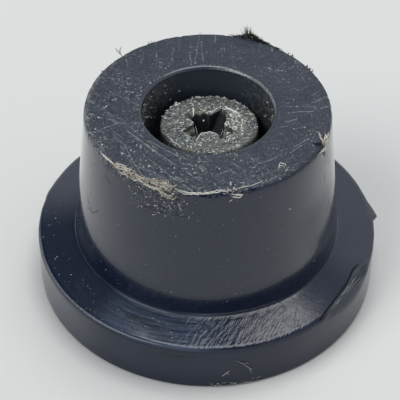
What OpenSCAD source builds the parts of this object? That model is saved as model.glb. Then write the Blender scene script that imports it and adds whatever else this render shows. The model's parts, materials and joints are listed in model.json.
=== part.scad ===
// Round moulded foot: a sloped flange, a tapered body and a deep screw well,
// with its fixing screw leaning loose in the well.
// Millimetres. Z points up the axis, and the flat underside of the flange lies on z = 0.

/* [Flange] */
// Diameter of the flange
flange_d = 25; // [23:0.1:32]
// Height of the upright rim of the flange
flange_rim_h = 3.9; // [2.5:0.1:5]
// Rise of the sloped top of the flange, from its rim to the body
flange_rise = 0.5; // [0.2:0.05:1.2]

/* [Body] */
// Overall height of the foot
foot_h = 15.1; // [14.8:0.1:20]
// Diameter of the body where it meets the flange
body_root_d = 19.5; // [18:0.1:21]
// Diameter of the body at its top face
body_top_d = 17.3; // [15:0.1:19]

/* [Screw well] */
// Thickness of the web that the screw head clamps when it is driven home
web_t = 4; // [3:0.1:6]
// Gap all round between the screw head and the wall of the well
head_gap = 1.1; // [0.5:0.05:1.6]
// Gap all round between the screw thread and its hole in the web
thread_gap = 0.15; // [0.05:0.01:0.3]

/* [Edges] */
// Rounding of the outer edge of the top face
top_edge_r = 0.25; // [0.1:0.05:0.6]
// Rounding of the mouth of the screw well
well_mouth_r = 0.3; // [0.1:0.05:0.6]
// Fillet in the bottom corner of the screw well
well_floor_r = 0.4; // [0.1:0.05:1]
// Fillet between the flange and the body
body_root_r = 0.25; // [0.1:0.05:0.6]
// Rounding of the upper edge of the flange
flange_edge_r = 0.12; // [0.05:0.01:0.4]
// Rounding of the lower edge of the flange
flange_foot_r = 0.2; // [0.05:0.05:0.6]

/* [Edge bruise] */
// Direction of the bruise on the flange, in degrees round from +X
bruise_turn = 329; // [0:1:359]
// Width that the bruise takes off the top of the flange
bruise_bite = 0.65; // [0.2:0.05:1]
// Height that the bruise takes off the rim of the flange
bruise_drop = 0.95; // [0.3:0.05:1.5]

/* [Screw] */
// Outside diameter of the thread
thread_d = 4; // [3.3:0.1:4.5]
// Length of the screw below its head
screw_l = 10; // [8:0.1:10.5]
// Diameter of the screw head
head_d = 7; // [6:0.1:8]
// Height of the screw head
head_h = 2.6; // [2.2:0.1:3]
// Rise of the slightly domed top of the head, from its edge to its middle
head_dome = 0.12; // [0.05:0.01:0.3]
// Rounding of the upper edge of the head
head_edge_r = 0.25; // [0.1:0.05:0.5]
// Fillet between the screw head and its shank
neck_r = 0.2; // [0.1:0.05:0.5]
// Diameter of the flat end of the screw
tip_d = 3.1; // [2.4:0.1:3.2]
// Length of the chamfered end of the screw
tip_l = 0.5; // [0.2:0.1:1]
// Height of the screw end above the underside of the flange
tip_lift = 0.6; // [0.3:0.1:1]
// Lean of the screw, as a share of what the gap round its thread allows
lean_share = 0.86; // [0:0.01:0.9]
// Direction that the screw leans in, in degrees round from +X
lean_turn = 82; // [0:1:359]

/* [Driver recess] */
// Width of the cross recess over two opposite wings
recess_d = 4.1; // [3.6:0.05:4.4]
// Width of one wing of the recess
wing_w = 1.4; // [1.2:0.05:1.5]
// Rounding of the corners between two wings
wing_corner_r = 0.25; // [0.1:0.05:0.35]
// Depth of the wings
recess_depth = 1.7; // [1.2:0.1:1.9]
// Width of the recess at the bottom of its wings
recess_floor_d = 2.3; // [2.2:0.05:2.6]
// Depth of the cone below the wings
recess_cone_h = 0.3; // [0.1:0.1:0.4]
// Direction of one wing, in degrees round from +X
recess_turn = 45; // [0:1:89]

/* [Hidden] */
$fn = 96;
// Steps that one rounded corner of a section is drawn with
arc_steps = 8;
// Length by which a cut runs past the solid that it cuts
overrun = 1;
// Wings of the driver recess and the angle between two of them
wings = 4;
wing_angle = 360 / wings;
// Most of the gap round the screw head that a lean may use up, as a share
lean_limit = 0.8;

well_d = head_d + 2 * head_gap;
hole_d = thread_d + 2 * thread_gap;
body_root_z = flange_rim_h + flange_rise;
head_z = tip_lift + screw_l;
head_top_z = head_z + head_h;

// The screw leans about the middle of the stretch that its hole holds
lean_z = (web_t + tip_lift) / 2;
thread_lean = lean_share * atan2(hole_d - thread_d, web_t - tip_lift);
head_lean = atan2(lean_limit * head_gap, head_top_z - lean_z);
screw_lean = min(thread_lean, head_lean);

bruise_tilt = atan2(bruise_bite, bruise_drop);
bruise_run = 2 * bruise_drop / cos(bruise_tilt);

recess_r = recess_d / 2;
recess_floor_r = recess_floor_d / 2;
// Radius of the wing tips at the end of the cut, which runs on past the head
overrun_r = recess_floor_r + (recess_r - recess_floor_r) * (recess_depth + overrun) / recess_depth;
// Radius to the sharp corner between two wings
wing_corner_at = wing_w / sqrt(2);

// One corner of a section, drawn as an arc of the given radius
function corner_arc(before, corner, after, r) =
    let (u = (before - corner) / norm(before - corner))
    let (v = (after - corner) / norm(after - corner))
    let (half_angle = acos(u * v) / 2)
    let (centre = corner + r / sin(half_angle) * (u + v) / norm(u + v))
    let (first = corner + r / tan(half_angle) * u - centre)
    let (last = corner + r / tan(half_angle) * v - centre)
    let (sweep = 180 - 2 * half_angle)
    [for (i = [0:arc_steps]) centre
        + (sin(sweep * (1 - i / arc_steps)) * first + sin(sweep * i / arc_steps) * last) / sin(sweep)];

// A closed section from its corners and the rounding of each of them
function rounded_section(corners, radii) =
    let (n = len(corners))
    [for (i = [0:n - 1])
        each radii[i] == 0
            ? [corners[i]]
            : corner_arc(corners[(i + n - 1) % n], corners[i], corners[(i + 1) % n], radii[i])];

// Half section of the foot, from the hole outwards and back over the top
foot_corners = [
    [hole_d / 2, 0],
    [flange_d / 2, 0],
    [flange_d / 2, flange_rim_h],
    [body_root_d / 2, body_root_z],
    [body_top_d / 2, foot_h],
    [well_d / 2, foot_h],
    [well_d / 2, web_t],
    [hole_d / 2, web_t]
];
foot_radii = [0, flange_foot_r, flange_edge_r, body_root_r, top_edge_r, well_mouth_r, well_floor_r, 0];

// Half section of the screw, from its tip up to the crown of its head
screw_corners = [
    [0, tip_lift],
    [tip_d / 2, tip_lift],
    [thread_d / 2, tip_lift + tip_l],
    [thread_d / 2, head_z],
    [head_d / 2, head_z],
    [head_d / 2, head_top_z - head_dome],
    [0, head_top_z]
];
screw_radii = [0, 0, 0, neck_r, 0, head_edge_r, 0];

// Outline of the cross recess, wing by wing; its tips run past the cone that ends them
cross_corners = [for (i = [0:wings - 1])
    let (along = [cos(i * wing_angle), sin(i * wing_angle)])
    let (across = [-along[1], along[0]])
    each [
        head_d * along - wing_w / 2 * across,
        head_d * along + wing_w / 2 * across,
        wing_w / 2 * (along + across)
    ]];
cross_radii = [for (i = [0:wings - 1]) each [0, 0, wing_corner_r]];

// The slanting cut that stands for the bruised stretch of the flange edge
module edge_bruise() {
    rotate([0, 0, bruise_turn])
        translate([flange_d / 2, 0, flange_rim_h - bruise_drop])
            rotate([0, -bruise_tilt, 0])
                translate([0, -flange_d / 2, 0])
                    cube([flange_d / 2, flange_d, bruise_run]);
}

// The cross recess: tapered wings, with the cone that their punch leaves at the bottom
module driver_recess() {
    translate([0, 0, head_top_z - recess_depth])
        rotate([0, 0, recess_turn])
            intersection() {
                linear_extrude(recess_depth + overrun)
                    polygon(rounded_section(cross_corners, cross_radii));
                cylinder(h = recess_depth + overrun, r1 = recess_floor_r, r2 = overrun_r);
            }
    translate([0, 0, head_top_z - recess_depth - recess_cone_h])
        cylinder(h = recess_cone_h, r1 = 0, r2 = wing_corner_at);
}

module foot_body() {
    color("#2b2e36")
        difference() {
            rotate_extrude()
                polygon(rounded_section(foot_corners, foot_radii));
            edge_bruise();
        }
}

module fixing_screw() {
    color("#7a7b76")
        translate([0, 0, lean_z])
            rotate([0, 0, lean_turn])
                rotate([0, screw_lean, 0])
                    rotate([0, 0, -lean_turn])
                        translate([0, 0, -lean_z])
                            difference() {
                                rotate_extrude()
                                    polygon(rounded_section(screw_corners, screw_radii));
                                driver_recess();
                            }
}

foot_body();
fixing_screw();
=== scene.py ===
import itertools
import json
import math
import random
from types import SimpleNamespace

import bpy
import numpy as np
from mathutils import Matrix, Vector, noise


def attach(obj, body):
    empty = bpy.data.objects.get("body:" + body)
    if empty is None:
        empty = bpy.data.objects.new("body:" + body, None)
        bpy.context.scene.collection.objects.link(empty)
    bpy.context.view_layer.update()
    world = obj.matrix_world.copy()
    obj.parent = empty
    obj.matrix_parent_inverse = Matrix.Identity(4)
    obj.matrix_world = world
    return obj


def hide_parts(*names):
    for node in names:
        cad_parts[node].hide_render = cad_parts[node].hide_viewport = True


bl_info = {
    "name": "Rubber Foot",
    "version": (1, 0, 0),
    "blender": (4, 5, 0),
    "location": "View3D > Sidebar > Rubber Foot",
    "description": "Dresses a worn rubber foot and the dirty screw that stands in it",
    "category": "Object",
}

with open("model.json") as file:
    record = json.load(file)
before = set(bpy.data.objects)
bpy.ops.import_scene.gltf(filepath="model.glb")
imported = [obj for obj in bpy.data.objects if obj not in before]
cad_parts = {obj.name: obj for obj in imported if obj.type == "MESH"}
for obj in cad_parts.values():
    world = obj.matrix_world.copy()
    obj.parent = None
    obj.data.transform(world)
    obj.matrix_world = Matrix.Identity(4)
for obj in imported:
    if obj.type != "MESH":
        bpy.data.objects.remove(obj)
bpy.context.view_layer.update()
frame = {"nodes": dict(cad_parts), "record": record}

# Lengths are worked out in millimetres and written to meshes in metres.
MM = 0.001
# How near to the plane of +X a CAD vertex lies to count as on the half section.
SEAM = 0.002
# Longest stretch of the half section that a cut may have taken away.
SEAM_GAP = 0.3
# Reach of the roundings at the rim, the top and the head, past which sizes are read off the sections.
RIM_ROUND = 0.12
TOP_ROUND = 0.3
HEAD_ROUND = 0.01
# The straight wall starts this far above the rim and ends this far below the top.
WALL_START = 0.62
WALL_END = 0.2
# How far the fillet at the root of the wall stands above the flange.
FILLET_RISE = 0.2

# The screw is built upright over its end, and then takes the lean that the frame gives it.
SCREW_END = next(m for m in frame["record"]["mounts"] if m["name"] == "screw_end")
SCREW_FOOT = np.array(SCREW_END["pos_m"]) / MM
LEAN = np.array(Vector((0.0, 0.0, -1.0)).rotation_difference(Vector(SCREW_END["axis"])).to_matrix())


def leaning(points):
    """Points of the upright screw where the leaning screw has them."""
    return np.asarray(points) @ LEAN.T + SCREW_FOOT


def cad_section(node, turn, start):
    """Corners of a turned CAD node's half section over +X, from its lowest and innermost one on."""
    mesh = frame["nodes"][node].data
    places = (np.array([v.co for v in mesh.vertices]) / MM - start) @ turn
    on_seam = (np.abs(places[:, 1]) < SEAM) & (places[:, 0] > -SEAM)
    keys = [(round(float(p[0]), 3), round(float(p[2]), 3)) for p in places]
    links = {}
    for edge in mesh.edges:
        a, b = edge.vertices
        if on_seam[a] and on_seam[b] and keys[a] != keys[b]:
            links.setdefault(keys[a], set()).add(keys[b])
            links.setdefault(keys[b], set()).add(keys[a])
    walk = [min(links, key=lambda k: (k[1], k[0]))]
    while len(walk) < len(links):
        left = [k for k in links if k not in walk]
        ahead = [k for k in left if k in links[walk[-1]]]
        if not ahead:
            ahead = [k for k in left if math.dist(k, walk[-1]) < SEAM_GAP]
        if not ahead:
            break
        walk.append(max(ahead))
    return np.array(walk)


FOOT = cad_section("foot_body", np.eye(3), np.zeros(3))
SCREW = cad_section("fixing_screw", LEAN, SCREW_FOOT)
FOOT_H = float(FOOT[:, 1].max())
FLANGE_R = float(FOOT[:, 0].max())
RIM_H = float(FOOT[FOOT[:, 0] > FLANGE_R - RIM_ROUND, 1].max())
TOP = FOOT[FOOT[:, 1] > FOOT_H - TOP_ROUND]
TOP_R = float(TOP[:, 0].max())
WELL_R = float(TOP[:, 0].min())
HEAD_R = float(SCREW[:, 0].max())
HEAD_TOP = float(SCREW[:, 1].max())
HEAD_Z = float(SCREW[SCREW[:, 0] > HEAD_R - HEAD_ROUND, 1].min())
WALL = FOOT[(FOOT[:, 1] > RIM_H + WALL_START) & (FOOT[:, 1] < FOOT_H - WALL_END)]
WALL = WALL[WALL[:, 0] > WELL_R + 0.1]
ROOT_R, ROOT_Z = (float(v) for v in WALL[WALL[:, 1].argmin()])


def wall_r(height):
    """Radius of the tapered wall at a height."""
    share = (height - ROOT_Z) / (FOOT_H - ROOT_Z)
    return ROOT_R + (TOP_R - ROOT_R) * share


def flange_z(radius):
    """Height of the sloped top of the flange at a radius."""
    share = (FLANGE_R - radius) / (FLANGE_R - ROOT_R)
    return RIM_H + (ROOT_Z - FILLET_RISE - RIM_H) * share


def at(turn, radius, height):
    """Points at a turn in degrees from the front towards +X."""
    angle = np.radians(turn)
    return np.stack(
        np.broadcast_arrays(radius * np.sin(angle), -radius * np.cos(angle), height), axis=-1
    )


def rise(value, low, high):
    """0 below low, 1 above high, with a smooth step between them."""
    share = np.clip((value - low) / (high - low), 0.0, 1.0)
    return share * share * (3.0 - 2.0 * share)


def span(value, low, high, soft):
    """1 between low and high and 0 outside, with soft ends."""
    return rise(value, low - soft, low + soft) * (1.0 - rise(value, high - soft, high + soft))


def wander(points, size, seed):
    """Smooth noise from about -1 to 1 at each point, with features of one size."""
    flat = (np.reshape(points, (-1, 3)) / size + seed).tolist()
    return np.reshape([noise.noise(p) for p in flat], np.shape(points)[:-1])


def grid_faces(rows, columns, closed):
    """Quads of a grid that closes round its columns, and round its rows if asked."""
    last = rows if closed else rows - 1
    i, j = np.meshgrid(np.arange(last), np.arange(columns), indexing="ij")
    down, across = (i + 1) % rows, (j + 1) % columns
    quads = (i * columns + j, i * columns + across, down * columns + across, down * columns + j)
    return np.stack(quads, axis=-1).reshape(-1, 4).tolist()


def make_piece(name, points, faces, material, node=None, marks=None):
    """A smooth mesh piece that rides on the foot, with named values at its vertices."""
    mesh = bpy.data.meshes.new(name)
    mesh.from_pydata((np.reshape(points, (-1, 3)) * MM).tolist(), [], faces)
    for mark, values in (marks or {}).items():
        data = mesh.attributes.new(mark, "FLOAT", "POINT").data
        data.foreach_set("value", np.ravel(values).astype(np.float32))
    mesh.materials.append(material)
    mesh.shade_smooth()
    piece = bpy.data.objects.new(name, mesh)
    bpy.context.scene.collection.objects.link(piece)
    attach(piece, "root")
    if node:
        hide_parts(node)


def grain_corners():
    """The twelve corners of a round grain."""
    golden = (1 + 5**0.5) / 2
    corners = []
    for a in (-1, 1):
        for b in (-golden, golden):
            corners += [(0, a, b), (a, b, 0), (b, 0, a)]
    return np.array(corners)


def grain_faces(corners):
    """Triangles of the grain, found as the corner triples that lie closest together."""
    faces = []
    for i, j, k in itertools.combinations(range(len(corners)), 3):
        sides = [np.linalg.norm(corners[p] - corners[q]) for p, q in ((i, j), (j, k), (k, i))]
        if max(sides) < GRAIN_SIDE:
            out = np.dot(np.cross(corners[j] - corners[i], corners[k] - corners[i]), corners[i])
            faces.append([i, j, k] if out > 0 else [i, k, j])
    return faces


# Corners next to each other lie less than this apart, and every corner about this far from the middle.
GRAIN_SIDE = 2.1
GRAIN_R = 1.9
GRAIN = grain_corners()
GRAIN_FACES = grain_faces(GRAIN)
# A full turn in radians, near enough for loose bits.
FULL_TURN = 6.28


class Heap:
    """Gathers many small closed shapes into one mesh."""

    def __init__(self, seed):
        self.points = []
        self.faces = []
        self.dice = random.Random(seed)

    def put(self, points, faces):
        """Adds one shape."""
        start = len(self.points)
        self.points.extend(np.reshape(points, (-1, 3)).tolist())
        self.faces.extend([[start + k for k in f] for f in faces])

    def strand(self, path, radius, sides=5):
        """A thin uneven strand along a path, pointed at both its ends."""
        path = np.asarray(path, float)
        ahead = np.gradient(path, axis=0)
        ahead /= np.linalg.norm(ahead, axis=1, keepdims=True) + 1e-9
        across = np.cross(ahead, (0.0, 0.0, 1.0))
        across /= np.linalg.norm(across, axis=1, keepdims=True) + 1e-9
        above = np.cross(across, ahead)
        n = len(path)
        taper = np.minimum(1.0, 4.0 * np.minimum(np.linspace(0.02, 1, n), np.linspace(1, 0.02, n)))
        rings = []
        for k in range(sides):
            angle = 2 * math.pi * k / sides
            size = np.array([radius * self.dice.uniform(0.7, 1.3) for _ in range(n)]) * taper
            side = across * (math.cos(angle) * size)[:, None]
            rings.append(path + side + above * (math.sin(angle) * size)[:, None])
        faces = grid_faces(n, sides, False)
        faces += [list(range(sides))[::-1], [(n - 1) * sides + k for k in range(sides)]]
        self.put(np.stack(rings, axis=1), faces)

    def crumb(self, place, size, flat=0.6):
        """A small irregular grain."""
        corners = GRAIN / GRAIN_R
        corners *= np.array([[self.dice.uniform(0.45, 1.4)] for _ in corners])
        spin = Matrix.Rotation(self.dice.uniform(0, FULL_TURN), 3, "Z")
        spin = spin @ Matrix.Rotation(self.dice.uniform(-0.5, 0.5), 3, "X")
        stretch = np.array((1.0, self.dice.uniform(0.3, 0.9), flat))
        self.put((corners * stretch * size) @ np.array(spin) + np.asarray(place), GRAIN_FACES)

    def piece(self, name, material, slot=None):
        """Makes one piece of all that was gathered."""
        make_piece(name, self.points, self.faces, material)


class Wire:
    """A shader socket that can be used in Python expressions."""

    def __init__(self, tree, socket):
        self.tree = tree
        self.socket = socket

    def node(self, kind, settings=None, values=None, output=0):
        """Adds one node: its settings first, then its socket values or links."""
        made = self.tree.nodes.new(kind)
        for name, value in (settings or {}).items():
            setattr(made, name, value)
        for name, value in (values or {}).items():
            if isinstance(value, Wire):
                self.tree.links.new(value.socket, made.inputs[name])
            else:
                made.inputs[name].default_value = value
        return Wire(self.tree, made.outputs[output])

    def math(self, operation, *others):
        """One step of maths with this as its first value."""
        return self.node("ShaderNodeMath", {"operation": operation}, dict(enumerate((self, *others))))

    def __add__(self, other):
        return self.math("ADD", other)

    def __sub__(self, other):
        return self.math("SUBTRACT", other)

    def __mul__(self, other):
        return self.math("MULTIPLY", other)

    def __truediv__(self, other):
        return self.math("DIVIDE", other)

    def __rsub__(self, other):
        return self * -1.0 + other

    def __rtruediv__(self, other):
        return self.node("ShaderNodeMath", {"operation": "DIVIDE"}, {0: other, 1: self})

    def __neg__(self):
        return self * -1.0

    def __abs__(self):
        return self.math("ABSOLUTE")

    __radd__ = __add__
    __rmul__ = __mul__

    def top(self, other):
        """The larger of two values."""
        return self.math("MAXIMUM", other)

    def clip(self):
        """The value held between 0 and 1."""
        return self.node("ShaderNodeClamp", {}, {"Value": self})

    def rise(self, low, high):
        """0 below low, 1 above high, with a smooth step between them."""
        values = {"Value": self, "From Min": low, "From Max": high}
        return self.node("ShaderNodeMapRange", {"interpolation_type": "SMOOTHSTEP"}, values)

    def span(self, low, high, soft):
        """1 between low and high and 0 outside, with soft ends."""
        return self.rise(low - soft, low + soft) * (1.0 - self.rise(high - soft, high + soft))

    def blend(self, a, b):
        """Colour a where this is 0 and colour b where it is 1."""
        a, b = (color if isinstance(color, Wire) else (*color, 1.0) for color in (a, b))
        return self.node("ShaderNodeMix", {"data_type": "RGBA"}, {0: self, 6: a, 7: b}, 2)

    def stretch(self, x, y, z):
        """A vector with each of its parts scaled."""
        return self.node("ShaderNodeVectorMath", {"operation": "MULTIPLY"}, {0: self, 1: (x, y, z)})

    def spin(self, degrees):
        """A vector turned about Z."""
        values = {"Vector": self, "Angle": math.radians(degrees)}
        return self.node("ShaderNodeVectorRotate", {"rotation_type": "Z_AXIS"}, values)

    def beside(self, other):
        """A flat vector of two values."""
        return self.node("ShaderNodeCombineXYZ", {}, {"X": self, "Y": other})

    def mark(self, name):
        """A named value that the mesh has at its vertices."""
        return self.node("ShaderNodeAttribute", {"attribute_name": name}, {}, "Fac")

    def parts(self):
        """The three parts of a vector."""
        split = self.node("ShaderNodeSeparateXYZ", {}, {"Vector": self}).socket.node
        return [Wire(self.tree, o) for o in split.outputs]

    def noise(self, size, detail=2.0, rough=0.5):
        """Noise from 0 to 1 with features of one size."""
        values = {"Vector": self, "Scale": 1.0 / size, "Detail": detail, "Roughness": rough}
        return self.node("ShaderNodeTexNoise", {}, values)


def new_material(name, build, fixed):
    """A material with its varying inputs from build(place), and its constants on the shader's sockets."""
    material = bpy.data.materials.new(name)
    material.use_nodes = True
    tree = material.node_tree
    shader = tree.nodes["Principled BSDF"]
    place = Wire(tree, tree.nodes.new("ShaderNodeTexCoord").outputs["Object"])
    place = place.stretch(1 / MM, 1 / MM, 1 / MM)
    for socket, value in fixed.items():
        shader.inputs[socket].default_value = value
    for socket, value in build(place).items():
        tree.links.new(value.socket, shader.inputs[socket])
    return material


def bump(height):
    """Normal from a height in millimetres."""
    return height.node("ShaderNodeBump", {}, {"Height": height, "Strength": 1.0, "Distance": MM})


# Long scratches on the top ring: start, end in millimetres, width and strength.
SCRATCHES = (
    ((5.85, -0.25), (7.35, -0.11), 0.035, 1.0), ((5.4, 0.35), (7.6, 0.38), 0.03, 0.5),
    ((5.35, -1.28), (6.2, -0.94), 0.04, 1.0), ((5.85, -3.9), (6.85, -3.06), 0.04, 1.0),
    ((5.6, -4.5), (6.4, -3.68), 0.04, 0.9), ((4.8, -2.35), (5.15, -2.6), 0.04, 0.8),
    ((7.35, 1.65), (7.9, 2.2), 0.03, 0.7), ((5.8, 4.55), (6.2, 4.95), 0.04, 0.9),
    ((4.7, 4.2), (5.6, 5.4), 0.03, 0.6), ((4.3, 4.6), (4.6, 4.45), 0.05, 0.8),
    ((-6.8, -1.2), (-6.27, -1.66), 0.045, 1.0), ((-6.27, -1.66), (-4.42, -1.56), 0.035, 0.9),
    ((-7.1, -2.15), (-6.27, -1.7), 0.045, 1.0), ((-5.57, -2.36), (-3.31, -4.71), 0.04, 1.0),
    ((-3.31, -4.71), (-2.05, -5.91), 0.035, 0.8), ((-6.7, -2.1), (-5.75, -3.25), 0.03, 0.7),
    ((-4.3, -4.85), (-2.4, -7.0), 0.035, 0.8), ((-4.0, -3.45), (-2.0, -4.95), 0.035, 0.9),
    ((-5.57, -4.0), (-4.92, -5.72), 0.035, 1.0), ((-4.92, -5.72), (-4.4, -6.75), 0.04, 1.0),
    ((-6.85, 1.7), (-4.85, 0.25), 0.025, 0.6), ((-6.3, -1.0), (-3.3, -4.4), 0.025, 0.7),
    ((-4.9, -3.1), (-2.4, -5.9), 0.025, 0.7), ((-5.9, -4.0), (-4.5, -7.1), 0.025, 0.7),
    ((-0.7, 8.0), (-1.0, 5.0), 0.03, 0.7), ((-0.5, 7.4), (-0.4, 5.5), 0.03, 0.8),
    ((0.5, 8.4), (0.45, 7.6), 0.04, 0.7), ((-1.4, 6.3), (-1.2, 4.9), 0.03, 0.6),
    ((-1.5, -5.75), (-0.95, -5.9), 0.04, 0.9), ((-0.7, -5.42), (0.1, -5.48), 0.03, 0.8),
    ((-2.1, -4.85), (-1.8, -5.45), 0.05, 0.9), ((-2.2, -7.2), (-1.4, -7.26), 0.04, 0.8),
    ((-0.55, -7.0), (0.05, -7.25), 0.04, 0.8), ((2.85, -5.0), (3.75, -5.66), 0.03, 0.8),
)


def line_marks(x, y, lines):
    """Strength of drawn scratches at a point."""
    marks = None
    for (x0, y0), (x1, y1), width, strength in lines:
        run_x, run_y = x1 - x0, y1 - y0
        length2 = run_x**2 + run_y**2
        share = (((x - x0) * run_x + (y - y0) * run_y) / length2).clip()
        off_x, off_y = x - x0 - share * run_x, y - y0 - share * run_y
        line = (1.0 - (off_x * off_x + off_y * off_y).rise(0.0, width * width)) * strength
        marks = line if marks is None else marks.top(line)
    return marks


# Dark scratches on the wall: start and end as degrees from the front and height, width and strength.
WALL_MARKS = (
    ((-61.8, 13.6), (-57.5, 13.8), 0.06, 0.7),
    ((-51.0, 13.7), (-48.0, 13.5), 0.11, 0.9),
    ((-64.6, 9.3), (-59.5, 9.4), 0.05, 0.8),
    ((-59.5, 9.4), (-54.7, 10.2), 0.05, 0.8),
    ((-66.0, 10.1), (-62.0, 9.5), 0.05, 0.7),
    ((-77.0, 10.2), (-72.0, 10.0), 0.06, 0.6),
    ((68.5, 14.0), (65.5, 13.2), 0.05, 0.8),
    ((71.5, 13.9), (68.5, 12.9), 0.05, 0.8),
    ((74.0, 13.7), (72.0, 12.6), 0.06, 0.7),
    ((66.0, 12.4), (65.0, 11.9), 0.09, 0.7),
    ((70.0, 9.6), (66.0, 8.9), 0.05, 0.6),
    ((-31.0, 13.1), (-9.0, 13.1), 0.05, 0.8),
)

# Dark scratches on the rim of the flange, given in the same way.
RIM_MARKS = (
    ((-14.6, 3.28), (-3.0, 3.22), 0.06, 0.9),
    ((-12.0, 3.05), (-6.0, 3.1), 0.05, 0.8),
    ((-9.0, 2.2), (-5.5, 1.9), 0.025, 0.5),
)


# Stretches round the foot, as degrees from the front: start, end, and how soft both ends are.
WORN_FRONT = (-80.0, 90.0, 25.0)
PATCH = (-33.0, -10.0, 2.5)
FLASH = (-113.0, -102.0, 1.2)
BEADED = (-95.0, 40.0, 20.0)
DUSTY_EDGE = (-118.0, -46.0, 12.0)
BRIGHT_EDGE = (-86.0, -30.0, 9.0)
# Where the painted highlight along the mouth of the well is strongest.
PAINTED_MOUTH_HIGHLIGHT = (92.0, 172.0, 14.0)
STREAKED = (-62.0, 4.0, 16.0)
DASHED = (-31.0, -15.0, 3.0)
# Where the flange gets a painted sheen: a lighter bluish colour in place of the lamp's fading highlight.
PAINTED_SHEEN = (-37.0, 4.0, 8.0)
WRINKLED = (-8.0, 34.0, 7.0)
# Where reflection is painted on the wall, the flange and the rim.
PAINTED_REFLECTION_WALL_LEFT = (-104.0, -64.0, 15.0)
PAINTED_REFLECTION_WALL_RIGHT = (57.0, 76.0, 8.0)
PAINTED_REFLECTION_FLANGE_LEFT = (-135.0, -97.0, 13.0)
PAINTED_REFLECTION_FLANGE_RIGHT = (66.0, 125.0, 10.0)
PAINTED_REFLECTION_RIM = (-70.0, -42.0, 9.0)
DULL_RIGHT = (48.0, 74.0, 9.0)
# Heights on the wall: where the painted reflection ends, where it sets in at the right, and the dull stretch.
PAINTED_REFLECTION_TOP = 7.0
PAINTED_REFLECTION_RIGHT_RISE = (5.6, 6.6)
DULL_HEIGHT = (6.5, 11.0, 1.2)
# Where the burr of flash rises and where it falls away, as degrees from the front.
BURR_START = (93.0, 96.5)
BURR_END = (95.5, 104.5)
# A dent in the bruise: where it lies along it, and how deep it is.
DENT_ALONG = 1.6
DENT_DEPTH = 0.25
# How far the flange rises above its rim at the back of the bruise.
BRUISE_RISE = 0.1


def bruise_depth(along, height, wear):
    """How far from the axis the slanting flat of the bruise lies, with its dent."""
    slant = wear.bruise_bite / wear.bruise_drop
    flat = FLANGE_R - slant * (height - RIM_H - BRUISE_RISE + wear.bruise_drop)
    return flat - DENT_DEPTH * np.exp(-((along - DENT_ALONG) ** 2)) * rise(height, RIM_H - 0.4, RIM_H)


def unrolled(marks, degree):
    """Marks with their turns as millimetres, so that each has the same width in both directions."""
    return [((a * degree, b), (c * degree, d), *rest) for (a, b), (c, d), *rest in marks]


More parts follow.
